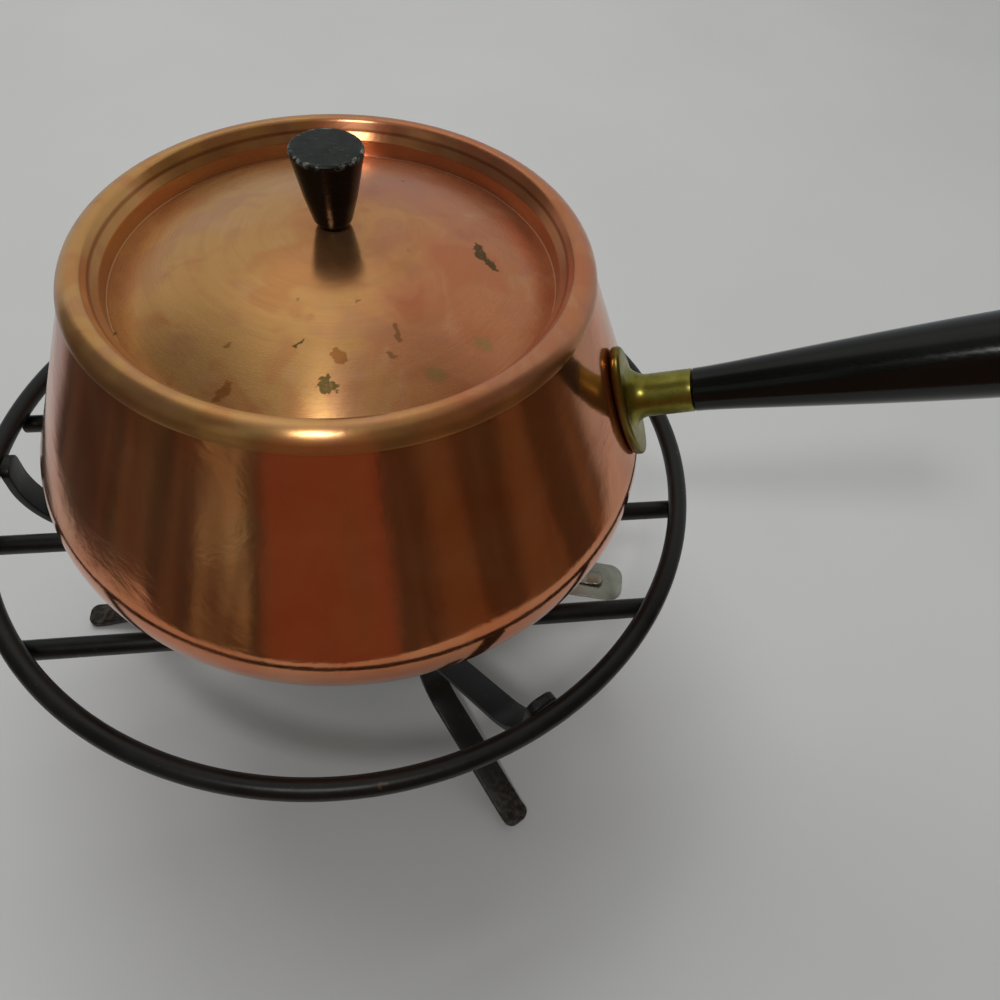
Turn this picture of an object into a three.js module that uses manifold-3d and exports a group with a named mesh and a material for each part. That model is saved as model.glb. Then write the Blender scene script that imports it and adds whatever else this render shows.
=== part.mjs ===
// Copper fondue pot with its lid, wire stand and spirit burner.
// Millimetres, +Z up. The handle points along +X, the feet stand on z = 0, and the
// origin is the middle of the underside of the whole object's box.

import * as THREE from 'three';
import { mergeVertices } from 'three/addons/utils/BufferGeometryUtils.js';
import Module from 'manifold-3d';

const wasm = await Module();
wasm.setup();

// Clearances
const SEAT_GAP = 0.3; // between pieces that rest on or are fixed to each other
const SLIDE_FIT = 0.5; // lid's edge over the pot's neck, radial
const HOLE_FIT = 0.3; // round a rivet, screw or stud, radial

// Stand
const ROD_DIAMETER = 6.7;
const RING_RADIUS = 125; // centreline
const RING_HEIGHT = 109.4; // centreline above the floor
const BAR_TURN = 17.1; // degrees from the handle
const BAR_OFFSETS = { inner: 28.5, outer: 70 };
const BAR_OVERHANG = 1; // how far a bar's end lies beyond the ring's centreline
const LEG_COUNT = 3;
const FIRST_LEG_TURN = 76.3; // degrees from the handle
const LEG_WIDTH = 10.5;
const LEG_THICKNESS = 3;
const TAB_RISE = 1.9; // tab's end above the ring's centreline
const TAB_DROP = 26.3; // from the ring's centreline to the corner of the upper bend
const ARMS_CROSS = { radius: 26.8, height: 28.4 }; // where the lines of a leg's two arms cross
const FOOT_RADIUS = 125; // end of the foot
const FOOT_LENGTH = 6.9;
const UPPER_BEND = 33.6;
const WAIST_BEND = 20;
const FOOT_BEND = 12.8;
const LEG_CORNER = 3.5; // rounding of the strap's corners at both ends

// Pot
const POT_SHIFT = { x: 3.6, y: 1.55 }; // the loose pot stands a little off the stand's axis
const POT_RADIUS = 101.5; // widest
const POT_WALL = 1.2;
const TURN_REACH = 22.4; // from the flat base's edge to the widest radius
const TURN_HEIGHT = 24.5; // from the base to the widest radius
const SHOULDER_ANGLE = THREE.MathUtils.degToRad(23.03); // wall to the axis
const NECK_RADIUS = 75.5;
const NECK_HEIGHT = 0.8;

// Lid
const LID_SHEET = 0.6;
const EDGE_ROLL = { width: 6.07, height: 7.3, start: THREE.MathUtils.degToRad(13.5) };
const CROWN_ROUND = { radius: 1, turn: THREE.MathUtils.degToRad(60) }; // from the crown into the well
const WELL_CREASE = { radius: 68.5, depth: 3.9 }; // depths in the well are below the crown
const WELL_FOOT = { radius: 64.3, depth: 8.54 };
const PANEL_RISE = 14.08;

// Knob
const KNOB_HEIGHT = 22.4;
const KNOB_TOP_RADIUS = 10;
const KNOB_FOOT_RADIUS = 5.8;
const KNOB_FOOT_ROUND = 1.8;
const KNOB_EDGE = 0.5;
const KNOB_SCREW_RADIUS = 1.5;
const KNOB_SCREW_REACH = 12; // into the knob
const SCREW_HEAD = { radius: 4, height: 2.4 };
const WASHER = { radius: 7, thickness: 1 };

// Handle
const HANDLE_HEIGHT = 55.2; // where its axis leaves the shoulder, above the pot's base
const FERRULE_LENGTH = 22.8;
const FERRULE_RADIUS = 6.7;
const FLANGE = { halfLength: 22, halfWidth: 10, thickness: 3.2, drop: 2.3 };
const FLANGE_ROUND = 1.2;
const FILLET = { length: 6, width: 2.4, height: 5.5 };
const SOCKET_DEPTH = 12;
const STUD_RADIUS = 3;
const GRIP_LENGTH = 150;
const GRIP_RADIUS = 13;
const GRIP_SWELL = { start: 14, end: 70, full: 125 }; // how the taper leaves and meets the radii
const GRIP_BUTT = 12;
const GRIP_BORE_DEPTH = 40;
const RIVET_RADIUS = 2;
const RIVET_HEAD = { radius: 4.2, height: 1.4 };
const FERRULE_RIVET_SPACING = 33;

// Burner
const BURNER_TURN = 2.7; // degrees from the pot's handle
const CUP_WALL = 1;
const CUP_PLAY = 3.22; // between the cup and the inside of the hoop
const CUP_DEPTH = 26.8; // below its step
const CUP_STEP_OVERHANG = 2.3; // beyond the hoop's centreline
const CUP_COLLAR_HEIGHT = 12; // above its step
const CUP_ROUND = 6;
const BURNER_HANDLE_RADIUS = 115.5; // tip
const BURNER_HANDLE_WIDTH = 17.8;
const BURNER_HANDLE_SHEET = 1.2;
const BURNER_HANDLE_CORNER = 6;
const BURNER_HANDLE_BEND = 2.5;
const BURNER_TAB_HEIGHT = 9.5;
const BURNER_RIVET_SPACING = 10;
const BURNER_RIVET_DROP = 6; // below the cup's rim
const BURNER_RIVET = { radius: 1.5, headRadius: 2.8, headHeight: 1 };
const COVER_SHEET = 0.8;
const COVER_PROUD = 0.4; // above the cup's rim
const COVER_COLLAR_RADIUS = 18;
const COVER_LIP_WIDTH = 1.6;
const VENT_COUNT = 8;
const VENT_RADIUS = 4;
const VENT_CIRCLE = 32;
const COVER_LEDGE = 8.7; // from the cover's edge to the regulator
const REGULATOR_SHEET = 0.8;
const LEVER_RADIUS = 107; // tip
const LEVER_WIDTH = 6.6;
const LEVER_CORNER = 2.4;
const LEVER_TIP = { length: 7, rise: 1 };
const GAUZE_THICKNESS = 0.6;
const WOOL_FREEBOARD = 2.5; // wool's top below the cup's step

// How finely round forms are faceted
const FACETS = { large: 48, ring: 64, medium: 36, small: 24, rod: 8, pin: 12 };
const BEND_STEP = THREE.MathUtils.degToRad(12);
const CORNER_STEPS = 3;

const ROD_RADIUS = ROD_DIAMETER / 2;

const COPPER = { color: 0xb5764a, metalness: 1, roughness: 0.22 };
const BRASS = { color: 0x8f8740, metalness: 1, roughness: 0.3 };
const BLACK_PAINT = { color: 0x2b2c2a, metalness: 0.2, roughness: 0.5 };
const BLACK_GLOSS = { color: 0x111312, metalness: 0, roughness: 0.18 };
const STEEL = { color: 0xa9abad, metalness: 1, roughness: 0.35 };
const WOOL = { color: 0xd8d2c2, metalness: 0, roughness: 0.95 };

function piece(name, geometry, finish) {
  const mesh = new THREE.Mesh(geometry, new THREE.MeshStandardMaterial(finish));
  mesh.name = name;
  return mesh;
}

function profilePoint(radius, height) {
  return new THREE.Vector2(radius, height);
}

// Turned piece about Z. The profile runs anticlockwise with the radius to the right.
function turned(profile, facets) {
  return new THREE.LatheGeometry(profile, facets).rotateX(Math.PI / 2);
}

// Points of an elliptical arc in a profile, both ends included.
function arcPoints(centre, reach, from, to, steps) {
  const points = [];
  for (let i = 0; i <= steps; i += 1) {
    const angle = from + ((to - from) * i) / steps;
    points.push(
      profilePoint(centre.x + reach.x * Math.cos(angle), centre.y + reach.y * Math.sin(angle)),
    );
  }
  return points;
}

// Each point of a face moved to its left by the distance, with corners kept sharp.
function offsetLeft(face, distance) {
  return face.map((point, i) => {
    const before = i > 0 ? point.clone().sub(face[i - 1]).normalize() : null;
    const after = i < face.length - 1 ? face[i + 1].clone().sub(point).normalize() : null;
    const along = (before ?? after).clone().add(after ?? before).normalize();
    const spread = distance / along.dot(after ?? before);
    return point.clone().add(profilePoint(-along.y, along.x).multiplyScalar(spread));
  });
}

// Closed profile of a sheet with the given outer face.
function sheetProfile(face, thickness) {
  const loop = [...face, ...offsetLeft(face, thickness).reverse()];
  if (face[0].x > 0) {
    loop.push(face[0].clone());
  }
  return loop;
}

function solidFrom(geometry) {
  const bare = geometry.clone();
  bare.deleteAttribute('normal');
  bare.deleteAttribute('uv');
  const merged = mergeVertices(bare);
  const index = merged.index.array;
  const corners = [];
  for (let i = 0; i < index.length; i += 3) {
    const [a, b, c] = [index[i], index[i + 1], index[i + 2]];
    if (a !== b && b !== c && c !== a) {
      corners.push(a, b, c);
    }
  }
  return new wasm.Manifold(new wasm.Mesh({
    numProp: 3,
    vertProperties: new Float32Array(merged.attributes.position.array),
    triVerts: new Uint32Array(corners),
  }));
}

function geometryFrom(solid) {
  const mesh = solid.getMesh();
  const geometry = new THREE.BufferGeometry();
  geometry.setAttribute('position', new THREE.BufferAttribute(mesh.vertProperties, mesh.numProp));
  geometry.setIndex(new THREE.BufferAttribute(mesh.triVerts, 1));
  geometry.computeVertexNormals();
  return geometry;
}

function cut(geometry, tools) {
  return geometryFrom(tools.reduce((solid, tool) => solid.subtract(solidFrom(tool)), solidFrom(geometry)));
}

function joined(geometries) {
  return geometryFrom(geometries.map(solidFrom).reduce((whole, part) => whole.add(part)));
}

// Upright cylinder between two heights.
function post(radius, bottom, top, facets) {
  const height = top - bottom;
  return new THREE.CylinderGeometry(radius, radius, height, facets)
    .rotateX(Math.PI / 2)
    .translate(0, 0, bottom + height / 2);
}

// Skin over closed sections of equal length, with a fan to a centre point at each end.
function lofted(sections, startCentre, endCentre) {
  const count = sections[0].length;
  const positions = sections.flat().concat([startCentre, endCentre]).flatMap((p) => p.toArray());
  const start = sections.length * count;
  const end = start + 1;
  const last = (sections.length - 1) * count;
  const index = [];
  for (let j = 0; j < count; j += 1) {
    const k = (j + 1) % count;
    for (let i = 0; i < sections.length - 1; i += 1) {
      const [a, b] = [i * count + j, i * count + k];
      const [c, d] = [a + count, b + count];
      index.push(a, b, d, a, d, c);
    }
    index.push(start, k, j);
    index.push(end, last + j, last + k);
  }
  const geometry = new THREE.BufferGeometry();
  geometry.setAttribute('position', new THREE.Float32BufferAttribute(positions, 3));
  geometry.setIndex(index);
  geometry.computeVertexNormals();
  return geometry;
}

// One bend of a strap's line at the corner with the given number.
function bendAt(corners, number, radius) {
  const before = corners[number].clone().sub(corners[number - 1]).normalize();
  const after = corners[number + 1].clone().sub(corners[number]).normalize();
  const turn = Math.atan2(before.cross(after), before.dot(after));
  const start = corners[number].clone().addScaledVector(before, -radius * Math.tan(Math.abs(turn) / 2));
  const toCentre = profilePoint(-before.y, before.x).multiplyScalar(Math.sign(turn) * radius);
  return { before, turn, start, centre: start.clone().add(toCentre) };
}

// Centreline of a bent strap in its upright plane, as stations along its length.
function bentLine(corners, bends) {
  const stations = [{ point: corners[0], along: corners[1].clone().sub(corners[0]).normalize() }];
  bends.forEach((radius, i) => {
    const { before, turn, start, centre } = bendAt(corners, i + 1, radius);
    const steps = Math.ceil(Math.abs(turn) / BEND_STEP);
    for (let k = 0; k <= steps; k += 1) {
      const angle = (turn * k) / steps;
      const along = before.clone().rotateAround(profilePoint(0, 0), angle);
      stations.push({ point: start.clone().rotateAround(centre, angle), along });
    }
  });
  const [beforeLast, last] = corners.slice(-2);
  stations.push({ point: last, along: last.clone().sub(beforeLast).normalize() });
  return stations;
}

// Stations from the very end of a strap to the end of its rounded corners.
function roundedEnd(tip, inward, halfWidth, corner) {
  const stations = [];
  for (let i = 0; i <= CORNER_STEPS; i += 1) {
    const angle = (Math.PI / 2) * (i / CORNER_STEPS);
    stations.push({
      point: tip.point.clone().addScaledVector(tip.along, inward * corner * (1 - Math.cos(angle))),
      along: tip.along,
      halfWidth: halfWidth - corner * (1 - Math.sin(angle)),
    });
  }
  return stations;
}

// Flat strap of even thickness bent along a line, each end's corners rounded or square.
function strap(line, width, thickness, corners) {
  const halfWidth = width / 2;
  const body = line.slice(1, -1).map((station) => ({ ...station, halfWidth }));
  const first = corners.start > 0
    ? roundedEnd(line[0], 1, halfWidth, corners.start)
    : [{ ...line[0], halfWidth }];
  const last = corners.end > 0
    ? roundedEnd(line[line.length - 1], -1, halfWidth, corners.end).reverse()
    : [{ ...line[line.length - 1], halfWidth }];
  const stations = [...first, ...body, ...last];
  const sections = stations.map(({ point, along, halfWidth: half }) => {
    const side = profilePoint(-along.y, along.x).multiplyScalar(thickness / 2);
    const left = point.clone().add(side);
    const right = point.clone().sub(side);
    return [
      new THREE.Vector3(left.x, half, left.y),
      new THREE.Vector3(left.x, -half, left.y),
      new THREE.Vector3(right.x, -half, right.y),
      new THREE.Vector3(right.x, half, right.y),
    ];
  });
  const middle = ({ point }) => new THREE.Vector3(point.x, 0, point.y);
  return lofted(sections, middle(stations[0]), middle(stations[stations.length - 1]));
}

function turnedBy(degrees, ...meshes) {
  const group = new THREE.Group();
  group.rotation.z = THREE.MathUtils.degToRad(degrees);
  group.add(...meshes);
  return group;
}

// Stand: a ring on three bent straps, crossbars under the ring, a hoop at the waist

const legCorners = [
  profilePoint(RING_RADIUS - ROD_RADIUS - SEAT_GAP - LEG_THICKNESS / 2, RING_HEIGHT + TAB_RISE),
  profilePoint(RING_RADIUS - ROD_RADIUS - SEAT_GAP - LEG_THICKNESS / 2, RING_HEIGHT - TAB_DROP),
  profilePoint(ARMS_CROSS.radius, ARMS_CROSS.height),
  profilePoint(FOOT_RADIUS - FOOT_LENGTH, LEG_THICKNESS / 2),
  profilePoint(FOOT_RADIUS, LEG_THICKNESS / 2),
];
const waistCentre = bendAt(legCorners, 2, WAIST_BEND).centre;
const hoopRadius = waistCentre.x - WAIST_BEND - LEG_THICKNESS / 2 - SEAT_GAP - ROD_RADIUS;
const hoopHeight = waistCentre.y;
const barHeight = RING_HEIGHT - ROD_DIAMETER - SEAT_GAP;

function legs() {
  const line = bentLine(legCorners, [UPPER_BEND, WAIST_BEND, FOOT_BEND]);
  const shape = strap(line, LEG_WIDTH, LEG_THICKNESS, { start: LEG_CORNER, end: LEG_CORNER });
  return Array.from({ length: LEG_COUNT }, (_, i) => {
    const turn = FIRST_LEG_TURN + (360 / LEG_COUNT) * i;
    return turnedBy(turn, piece(`leg_${i + 1}`, shape.clone(), BLACK_PAINT));
  });
}

function crossbar(name, offset) {
  const half = Math.sqrt((RING_RADIUS + BAR_OVERHANG) ** 2 - offset ** 2);
  const rod = new THREE.CylinderGeometry(ROD_RADIUS, ROD_RADIUS, 2 * half, FACETS.pin)
    .rotateZ(Math.PI / 2)
    .translate(0, offset, barHeight);
  return piece(name, rod, BLACK_PAINT);
}

function stand() {
  const group = new THREE.Group();
  const ring = new THREE.TorusGeometry(RING_RADIUS, ROD_RADIUS, FACETS.rod, FACETS.ring)
    .translate(0, 0, RING_HEIGHT);
  const hoop = new THREE.TorusGeometry(hoopRadius, ROD_RADIUS, FACETS.rod, FACETS.medium)
    .translate(0, 0, hoopHeight);
  const bars = [BAR_OFFSETS.outer, BAR_OFFSETS.inner, -BAR_OFFSETS.inner, -BAR_OFFSETS.outer]
    .map((offset, i) => crossbar(`crossbar_${i + 1}`, offset));
  group.add(piece('stand_ring', ring, BLACK_PAINT), piece('burner_hoop', hoop, BLACK_PAINT));
  group.add(turnedBy(BAR_TURN, ...bars), ...legs());
  return group;
}

// Pot: heights from here on in its own group are above its flat base

const turnCentre = profilePoint(POT_RADIUS - TURN_REACH, TURN_HEIGHT);
const turnEnd = Math.atan((Math.tan(SHOULDER_ANGLE) * TURN_REACH) / TURN_HEIGHT);
const shoulderStart = profilePoint(
  turnCentre.x + TURN_REACH * Math.cos(turnEnd),
  turnCentre.y + TURN_HEIGHT * Math.sin(turnEnd),
);

function shoulderHeightAt(radius) {
  return shoulderStart.y + (shoulderStart.x - radius) / Math.tan(SHOULDER_ANGLE);
}

function shoulderRadiusAt(height) {
  return shoulderStart.x - (height - shoulderStart.y) * Math.tan(SHOULDER_ANGLE);
}

const neckStart = shoulderHeightAt(NECK_RADIUS);
const rimCentre = profilePoint(NECK_RADIUS - POT_WALL / 2, neckStart + NECK_HEIGHT - POT_WALL / 2);

// Placement of the handle: local Z is its axis, out from the shoulder, and local X points
// down the shoulder. The origin is on the shoulder's outer face.
const handleFoot = new THREE.Vector3(shoulderRadiusAt(HANDLE_HEIGHT), 0, HANDLE_HEIGHT);
const handleFrame = new THREE.Matrix4()
  .makeTranslation(handleFoot)
  .multiply(new THREE.Matrix4().makeRotationY(Math.PI / 2 - SHOULDER_ANGLE));

// How far the shoulder's outer face lies below its tangent plane at a point of that plane.
function shoulderFall(x, y) {
  const slope = Math.tan(SHOULDER_ANGLE);
  const reach = (handleFoot.x + x * Math.sin(SHOULDER_ANGLE)) / Math.cos(SHOULDER_ANGLE);
  return (-reach + Math.sqrt(reach ** 2 - (1 - slope ** 2) * y ** 2)) / (1 - slope ** 2);
}

const rivetPlaces = [-1, 1].map((side) => FLANGE.drop + (side * FERRULE_RIVET_SPACING) / 2);

function ferruleRivetHoles() {
  const outside = FLANGE.thickness * 2;
  const inside = -POT_WALL * 3;
  return rivetPlaces.map((x) => post(RIVET_RADIUS + HOLE_FIT, inside, outside, FACETS.pin).translate(x, 0, 0));
}

function potShell() {
  const turnSteps = 9;
  const rimSteps = 4;
  const face = [
    profilePoint(0, 0),
    ...arcPoints(turnCentre, profilePoint(TURN_REACH, TURN_HEIGHT), -Math.PI / 2, turnEnd, turnSteps),
    profilePoint(NECK_RADIUS, neckStart),
    profilePoint(NECK_RADIUS, rimCentre.y),
  ];
  const inner = offsetLeft(face, POT_WALL).reverse();
  const roundRim = profilePoint(POT_WALL / 2, POT_WALL / 2);
  const rim = arcPoints(rimCentre, roundRim, 0, Math.PI, rimSteps).slice(1, -1);
  const shell = turned([...face, ...rim, ...inner], FACETS.large);
  const holes = ferruleRivetHoles().map((hole) => hole.applyMatrix4(handleFrame));
  return piece('pot_shell', cut(shell, holes), COPPER);
}

// Ferrule: oval flange bent to the shoulder, running through a fillet into a round socket

function ferruleSection(halfLength, halfWidth, drop, height, bend) {
  return Array.from({ length: FACETS.small }, (_, i) => {
    const angle = (2 * Math.PI * i) / FACETS.small;
    const x = drop + halfLength * Math.cos(angle);
    const y = halfWidth * Math.sin(angle);
    return new THREE.Vector3(x, y, height + bend * shoulderFall(x, y));
  });
}

function ferrule() {
  const { halfLength, halfWidth, thickness, drop } = FLANGE;
  const back = SEAT_GAP;
  const front = back + thickness;
  const edge = FLANGE_ROUND;
  const halfway = 0.5;
  const filletSteps = 5;
  const sections = [
    ferruleSection(halfLength * halfway, halfWidth * halfway, drop, back, 1),
    ferruleSection(halfLength - edge, halfWidth - edge, drop, back, 1),
    ferruleSection(halfLength, halfWidth, drop, back + edge, 1),
    ferruleSection(halfLength, halfWidth, drop, front - edge, 1),
    ferruleSection(halfLength - edge, halfWidth - edge, drop, front, 1),
  ];
  for (let i = 0; i <= filletSteps; i += 1) {
    const angle = (Math.PI / 2) * (i / filletSteps);
    const spread = 1 - Math.sin(angle);
    sections.push(ferruleSection(
      FERRULE_RADIUS + FILLET.length * spread,
      FERRULE_RADIUS + FILLET.width * spread,
      0,
      front + FILLET.height * (1 - Math.cos(angle)),
      Math.cos(angle),
    ));
  }
  const bore = STUD_RADIUS + HOLE_FIT;
  const boreEnd = FERRULE_LENGTH - SOCKET_DEPTH;
  sections.push(
    ferruleSection(FERRULE_RADIUS, FERRULE_RADIUS, 0, FERRULE_LENGTH, 0),
    ferruleSection(bore, bore, 0, FERRULE_LENGTH, 0),
    ferruleSection(bore, bore, 0, boreEnd, 0),
  );
  const backCentre = new THREE.Vector3(drop, 0, back + shoulderFall(drop, 0));
  const body = lofted(sections, backCentre, new THREE.Vector3(0, 0, boreEnd));
  return piece('handle_ferrule', cut(body, ferruleRivetHoles()), BRASS);
}

// Solid rivet: its shank ends flush in the flange, its head lies inside the pot.
function ferruleRivet(name, x) {
  const headTop = shoulderFall(x, RIVET_HEAD.radius) - POT_WALL - SEAT_GAP;
  const domeSteps = 3;
  const dome = arcPoints(
    profilePoint(0, headTop),
    profilePoint(RIVET_HEAD.radius, RIVET_HEAD.height),
    -Math.PI / 2,
    0,
    domeSteps,
  );
  const profile = [
    ...dome,
    profilePoint(RIVET_RADIUS, headTop),
    profilePoint(RIVET_RADIUS, FLANGE.thickness),
    profilePoint(0, FLANGE.thickness),
  ];
  return piece(name, turned(profile, FACETS.pin).translate(x, 0, 0), BRASS);
}

function handleStud() {
  const bottom = FERRULE_LENGTH - SOCKET_DEPTH + SEAT_GAP;
  const top = FERRULE_LENGTH + GRIP_BORE_DEPTH;
  return piece('handle_stud', post(STUD_RADIUS, bottom, top, FACETS.pin), STEEL);
}

function handleGrip() {
  const swellSteps = 8;
  const buttSteps = 5;
  const bore = STUD_RADIUS + HOLE_FIT;
  const swell = new THREE.CubicBezierCurve(
    profilePoint(FERRULE_RADIUS, 0),
    profilePoint(FERRULE_RADIUS, GRIP_SWELL.start),
    profilePoint(GRIP_RADIUS, GRIP_SWELL.end),
    profilePoint(GRIP_RADIUS, GRIP_SWELL.full),
  );
  const butt = arcPoints(
    profilePoint(0, GRIP_LENGTH - GRIP_BUTT),
    profilePoint(GRIP_RADIUS, GRIP_BUTT),
    0,
    Math.PI / 2,
    buttSteps,
  );
  const profile = [
    profilePoint(0, GRIP_BORE_DEPTH),
    profilePoint(bore, GRIP_BORE_DEPTH),
    profilePoint(bore, 0),
    ...swell.getPoints(swellSteps),
    ...butt.slice(0, -1),
    profilePoint(0, GRIP_LENGTH),
  ];
  const grip = turned(profile, FACETS.small).translate(0, 0, FERRULE_LENGTH + SEAT_GAP);
  return piece('handle_grip', grip, BLACK_GLOSS);
}

function handle() {
  const group = new THREE.Group();
  const rivets = rivetPlaces.map((x, i) => ferruleRivet(`ferrule_rivet_${i + 1}`, x));
  group.add(ferrule(), ...rivets, handleStud(), handleGrip());
  group.applyMatrix4(handleFrame);
  return group;
}

// Lid: its edge rolls over the pot's rim and stands on the shoulder

const edgeInner = NECK_RADIUS + SLIDE_FIT;
const edgeOuter = edgeInner + LID_SHEET;
const edgeTilt = LID_SHEET * Math.sin(EDGE_ROLL.start);
const edgeHeight = shoulderHeightAt(edgeInner - SEAT_GAP / Math.cos(SHOULDER_ANGLE)) + edgeTilt;
const rollCentre = profilePoint(
  edgeOuter - EDGE_ROLL.width * Math.cos(EDGE_ROLL.start),
  edgeHeight - EDGE_ROLL.height * Math.sin(EDGE_ROLL.start),
);
const crownHeight = rollCentre.y + EDGE_ROLL.height;
const panelTop = crownHeight - WELL_FOOT.depth + PANEL_RISE;
const panelSphere = (WELL_FOOT.radius ** 2 + PANEL_RISE ** 2) / (2 * PANEL_RISE);

function panelHeightAt(radius) {
  return panelTop - panelSphere + Math.sqrt(panelSphere ** 2 - radius ** 2);
}

function lidCover() {
  const rollSteps = 5;
  const roundSteps = 2;
  const panelSteps = 6;
  const screwHole = KNOB_SCREW_RADIUS + HOLE_FIT;
  const rollReach = profilePoint(EDGE_ROLL.width, EDGE_ROLL.height);
  const roundCentre = profilePoint(rollCentre.x, crownHeight - CROWN_ROUND.radius);
  const roundReach = profilePoint(CROWN_ROUND.radius, CROWN_ROUND.radius);
  const top = Math.PI / 2;
  const face = [
    ...arcPoints(rollCentre, rollReach, EDGE_ROLL.start, top, rollSteps),
    ...arcPoints(roundCentre, roundReach, top, top + CROWN_ROUND.turn, roundSteps).slice(1),
    profilePoint(WELL_CREASE.radius, crownHeight - WELL_CREASE.depth),
  ];
  for (let i = 0; i <= panelSteps; i += 1) {
    const radius = WELL_FOOT.radius + ((screwHole - WELL_FOOT.radius) * i) / panelSteps;
    face.push(profilePoint(radius, panelHeightAt(radius)));
  }
  return piece('lid_cover', turned(sheetProfile(face, LID_SHEET), FACETS.large), COPPER);
}

function knob() {
  const footSteps = 3;
  const bore = KNOB_SCREW_RADIUS + HOLE_FIT;
  const profile = [
    profilePoint(0, KNOB_SCREW_REACH),
    profilePoint(bore, KNOB_SCREW_REACH),
    profilePoint(bore, 0),
    ...arcPoints(
      profilePoint(KNOB_FOOT_RADIUS - KNOB_FOOT_ROUND, KNOB_FOOT_ROUND),
      profilePoint(KNOB_FOOT_ROUND, KNOB_FOOT_ROUND),
      -Math.PI / 2,
      0,
      footSteps,
    ),
    profilePoint(KNOB_TOP_RADIUS, KNOB_HEIGHT - KNOB_EDGE),
    profilePoint(KNOB_TOP_RADIUS - KNOB_EDGE, KNOB_HEIGHT),
    profilePoint(0, KNOB_HEIGHT),
  ];
  return piece('knob', turned(profile, FACETS.small).translate(0, 0, panelTop + SEAT_GAP), BLACK_GLOSS);
}

// The washer and the screw's head lie one under the other below the panel.
const washerTop = panelHeightAt(WASHER.radius) - LID_SHEET - SEAT_GAP;
const washerBottom = washerTop - WASHER.thickness;

function knobWasher() {
  const hole = KNOB_SCREW_RADIUS + HOLE_FIT;
  const profile = [
    profilePoint(hole, washerBottom),
    profilePoint(WASHER.radius, washerBottom),
    profilePoint(WASHER.radius, washerTop),
    profilePoint(hole, washerTop),
    profilePoint(hole, washerBottom),
  ];
  return piece('knob_washer', turned(profile, FACETS.small), STEEL);
}

function knobScrew() {
  const headTop = washerBottom - SEAT_GAP;
  const shankTop = panelTop + KNOB_SCREW_REACH;
  const domeSteps = 3;
  const profile = [
    ...arcPoints(
      profilePoint(0, headTop),
      profilePoint(SCREW_HEAD.radius, SCREW_HEAD.height),
      -Math.PI / 2,
      0,
      domeSteps,
    ),
    profilePoint(KNOB_SCREW_RADIUS, headTop),
    profilePoint(KNOB_SCREW_RADIUS, shankTop),
    profilePoint(0, shankTop),
  ];
  return piece('knob_screw', turned(profile, FACETS.pin), STEEL);
}

function pot() {
  const group = new THREE.Group();
  group.add(potShell(), handle(), lidCover(), knob(), knobWasher(), knobScrew());
  group.position.set(POT_SHIFT.x, POT_SHIFT.y, barHeight + ROD_RADIUS + SEAT_GAP);
  return group;
}

// Burner: a stepped cup hangs in the hoop by its step

const stepUnderside = hoopHeight + ROD_RADIUS + SEAT_GAP;
const cupRadius = hoopRadius - ROD_RADIUS - CUP_PLAY;
const cupCollarRadius = hoopRadius + CUP_STEP_OVERHANG;
const cupRim = stepUnderside + CUP_COLLAR_HEIGHT;
const cupFloor = stepUnderside - CUP_DEPTH;
const collarInner = cupCollarRadius - CUP_WALL;
const rivetHeight = cupRim - BURNER_RIVET_DROP;
const tabMiddle = cupCollarRadius + SEAT_GAP + BURNER_HANDLE_SHEET / 2;
const rivetHeadReach = BURNER_RIVET_SPACING / 2 + BURNER_RIVET.headRadius;
const rivetHeadTop = Math.sqrt(collarInner ** 2 - rivetHeadReach ** 2) - SEAT_GAP;
const coverTop = cupRim + COVER_PROUD;
const coverRadius = rivetHeadTop - BURNER_RIVET.headHeight - SEAT_GAP;
const regulatorRadius = coverRadius - COVER_LEDGE;
const regulatorBottom = coverTop + SEAT_GAP;
const regulatorTop = regulatorBottom + REGULATOR_SHEET;

// Holes for the rivets that go through the cup's collar and the handle's tab.
function burnerRivetAt(geometry, side) {
  return geometry
    .rotateY(Math.PI / 2)
    .translate(cupCollarRadius, (side * BURNER_RIVET_SPACING) / 2, rivetHeight);
}

function burnerRivetHoles() {
  const reach = (CUP_WALL + BURNER_HANDLE_SHEET) * 2;
  return [-1, 1].map((side) => (
    burnerRivetAt(post(BURNER_RIVET.radius + HOLE_FIT, -reach, reach, FACETS.pin), side)
  ));
}

function burnerRivet(name, side) {
  const { radius, headRadius, headHeight } = BURNER_RIVET;
  const inside = rivetHeadTop - cupCollarRadius;
  const outside = SEAT_GAP * 2 + BURNER_HANDLE_SHEET;
  const profile = [
    profilePoint(0, inside - headHeight),
    profilePoint(headRadius, inside - headHeight),
    profilePoint(headRadius, inside),
    profilePoint(radius, inside),
    profilePoint(radius, outside),
    profilePoint(headRadius, outside),
    profilePoint(headRadius, outside + headHeight),
    profilePoint(0, outside + headHeight),
  ];
  return piece(name, burnerRivetAt(turned(profile, FACETS.pin), side), STEEL);
}

function burnerCup() {
  const roundSteps = 4;
  const face = [
    profilePoint(0, cupFloor),
    ...arcPoints(
      profilePoint(cupRadius - CUP_ROUND, cupFloor + CUP_ROUND),
      profilePoint(CUP_ROUND, CUP_ROUND),
      -Math.PI / 2,
      0,
      roundSteps,
    ),
    profilePoint(cupRadius, stepUnderside),
    profilePoint(cupCollarRadius, stepUnderside),
    profilePoint(cupCollarRadius, cupRim),
  ];
  const cup = turned(sheetProfile(face, CUP_WALL), FACETS.medium);
  return piece('burner_cup', cut(cup, burnerRivetHoles()), STEEL);
}

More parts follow.
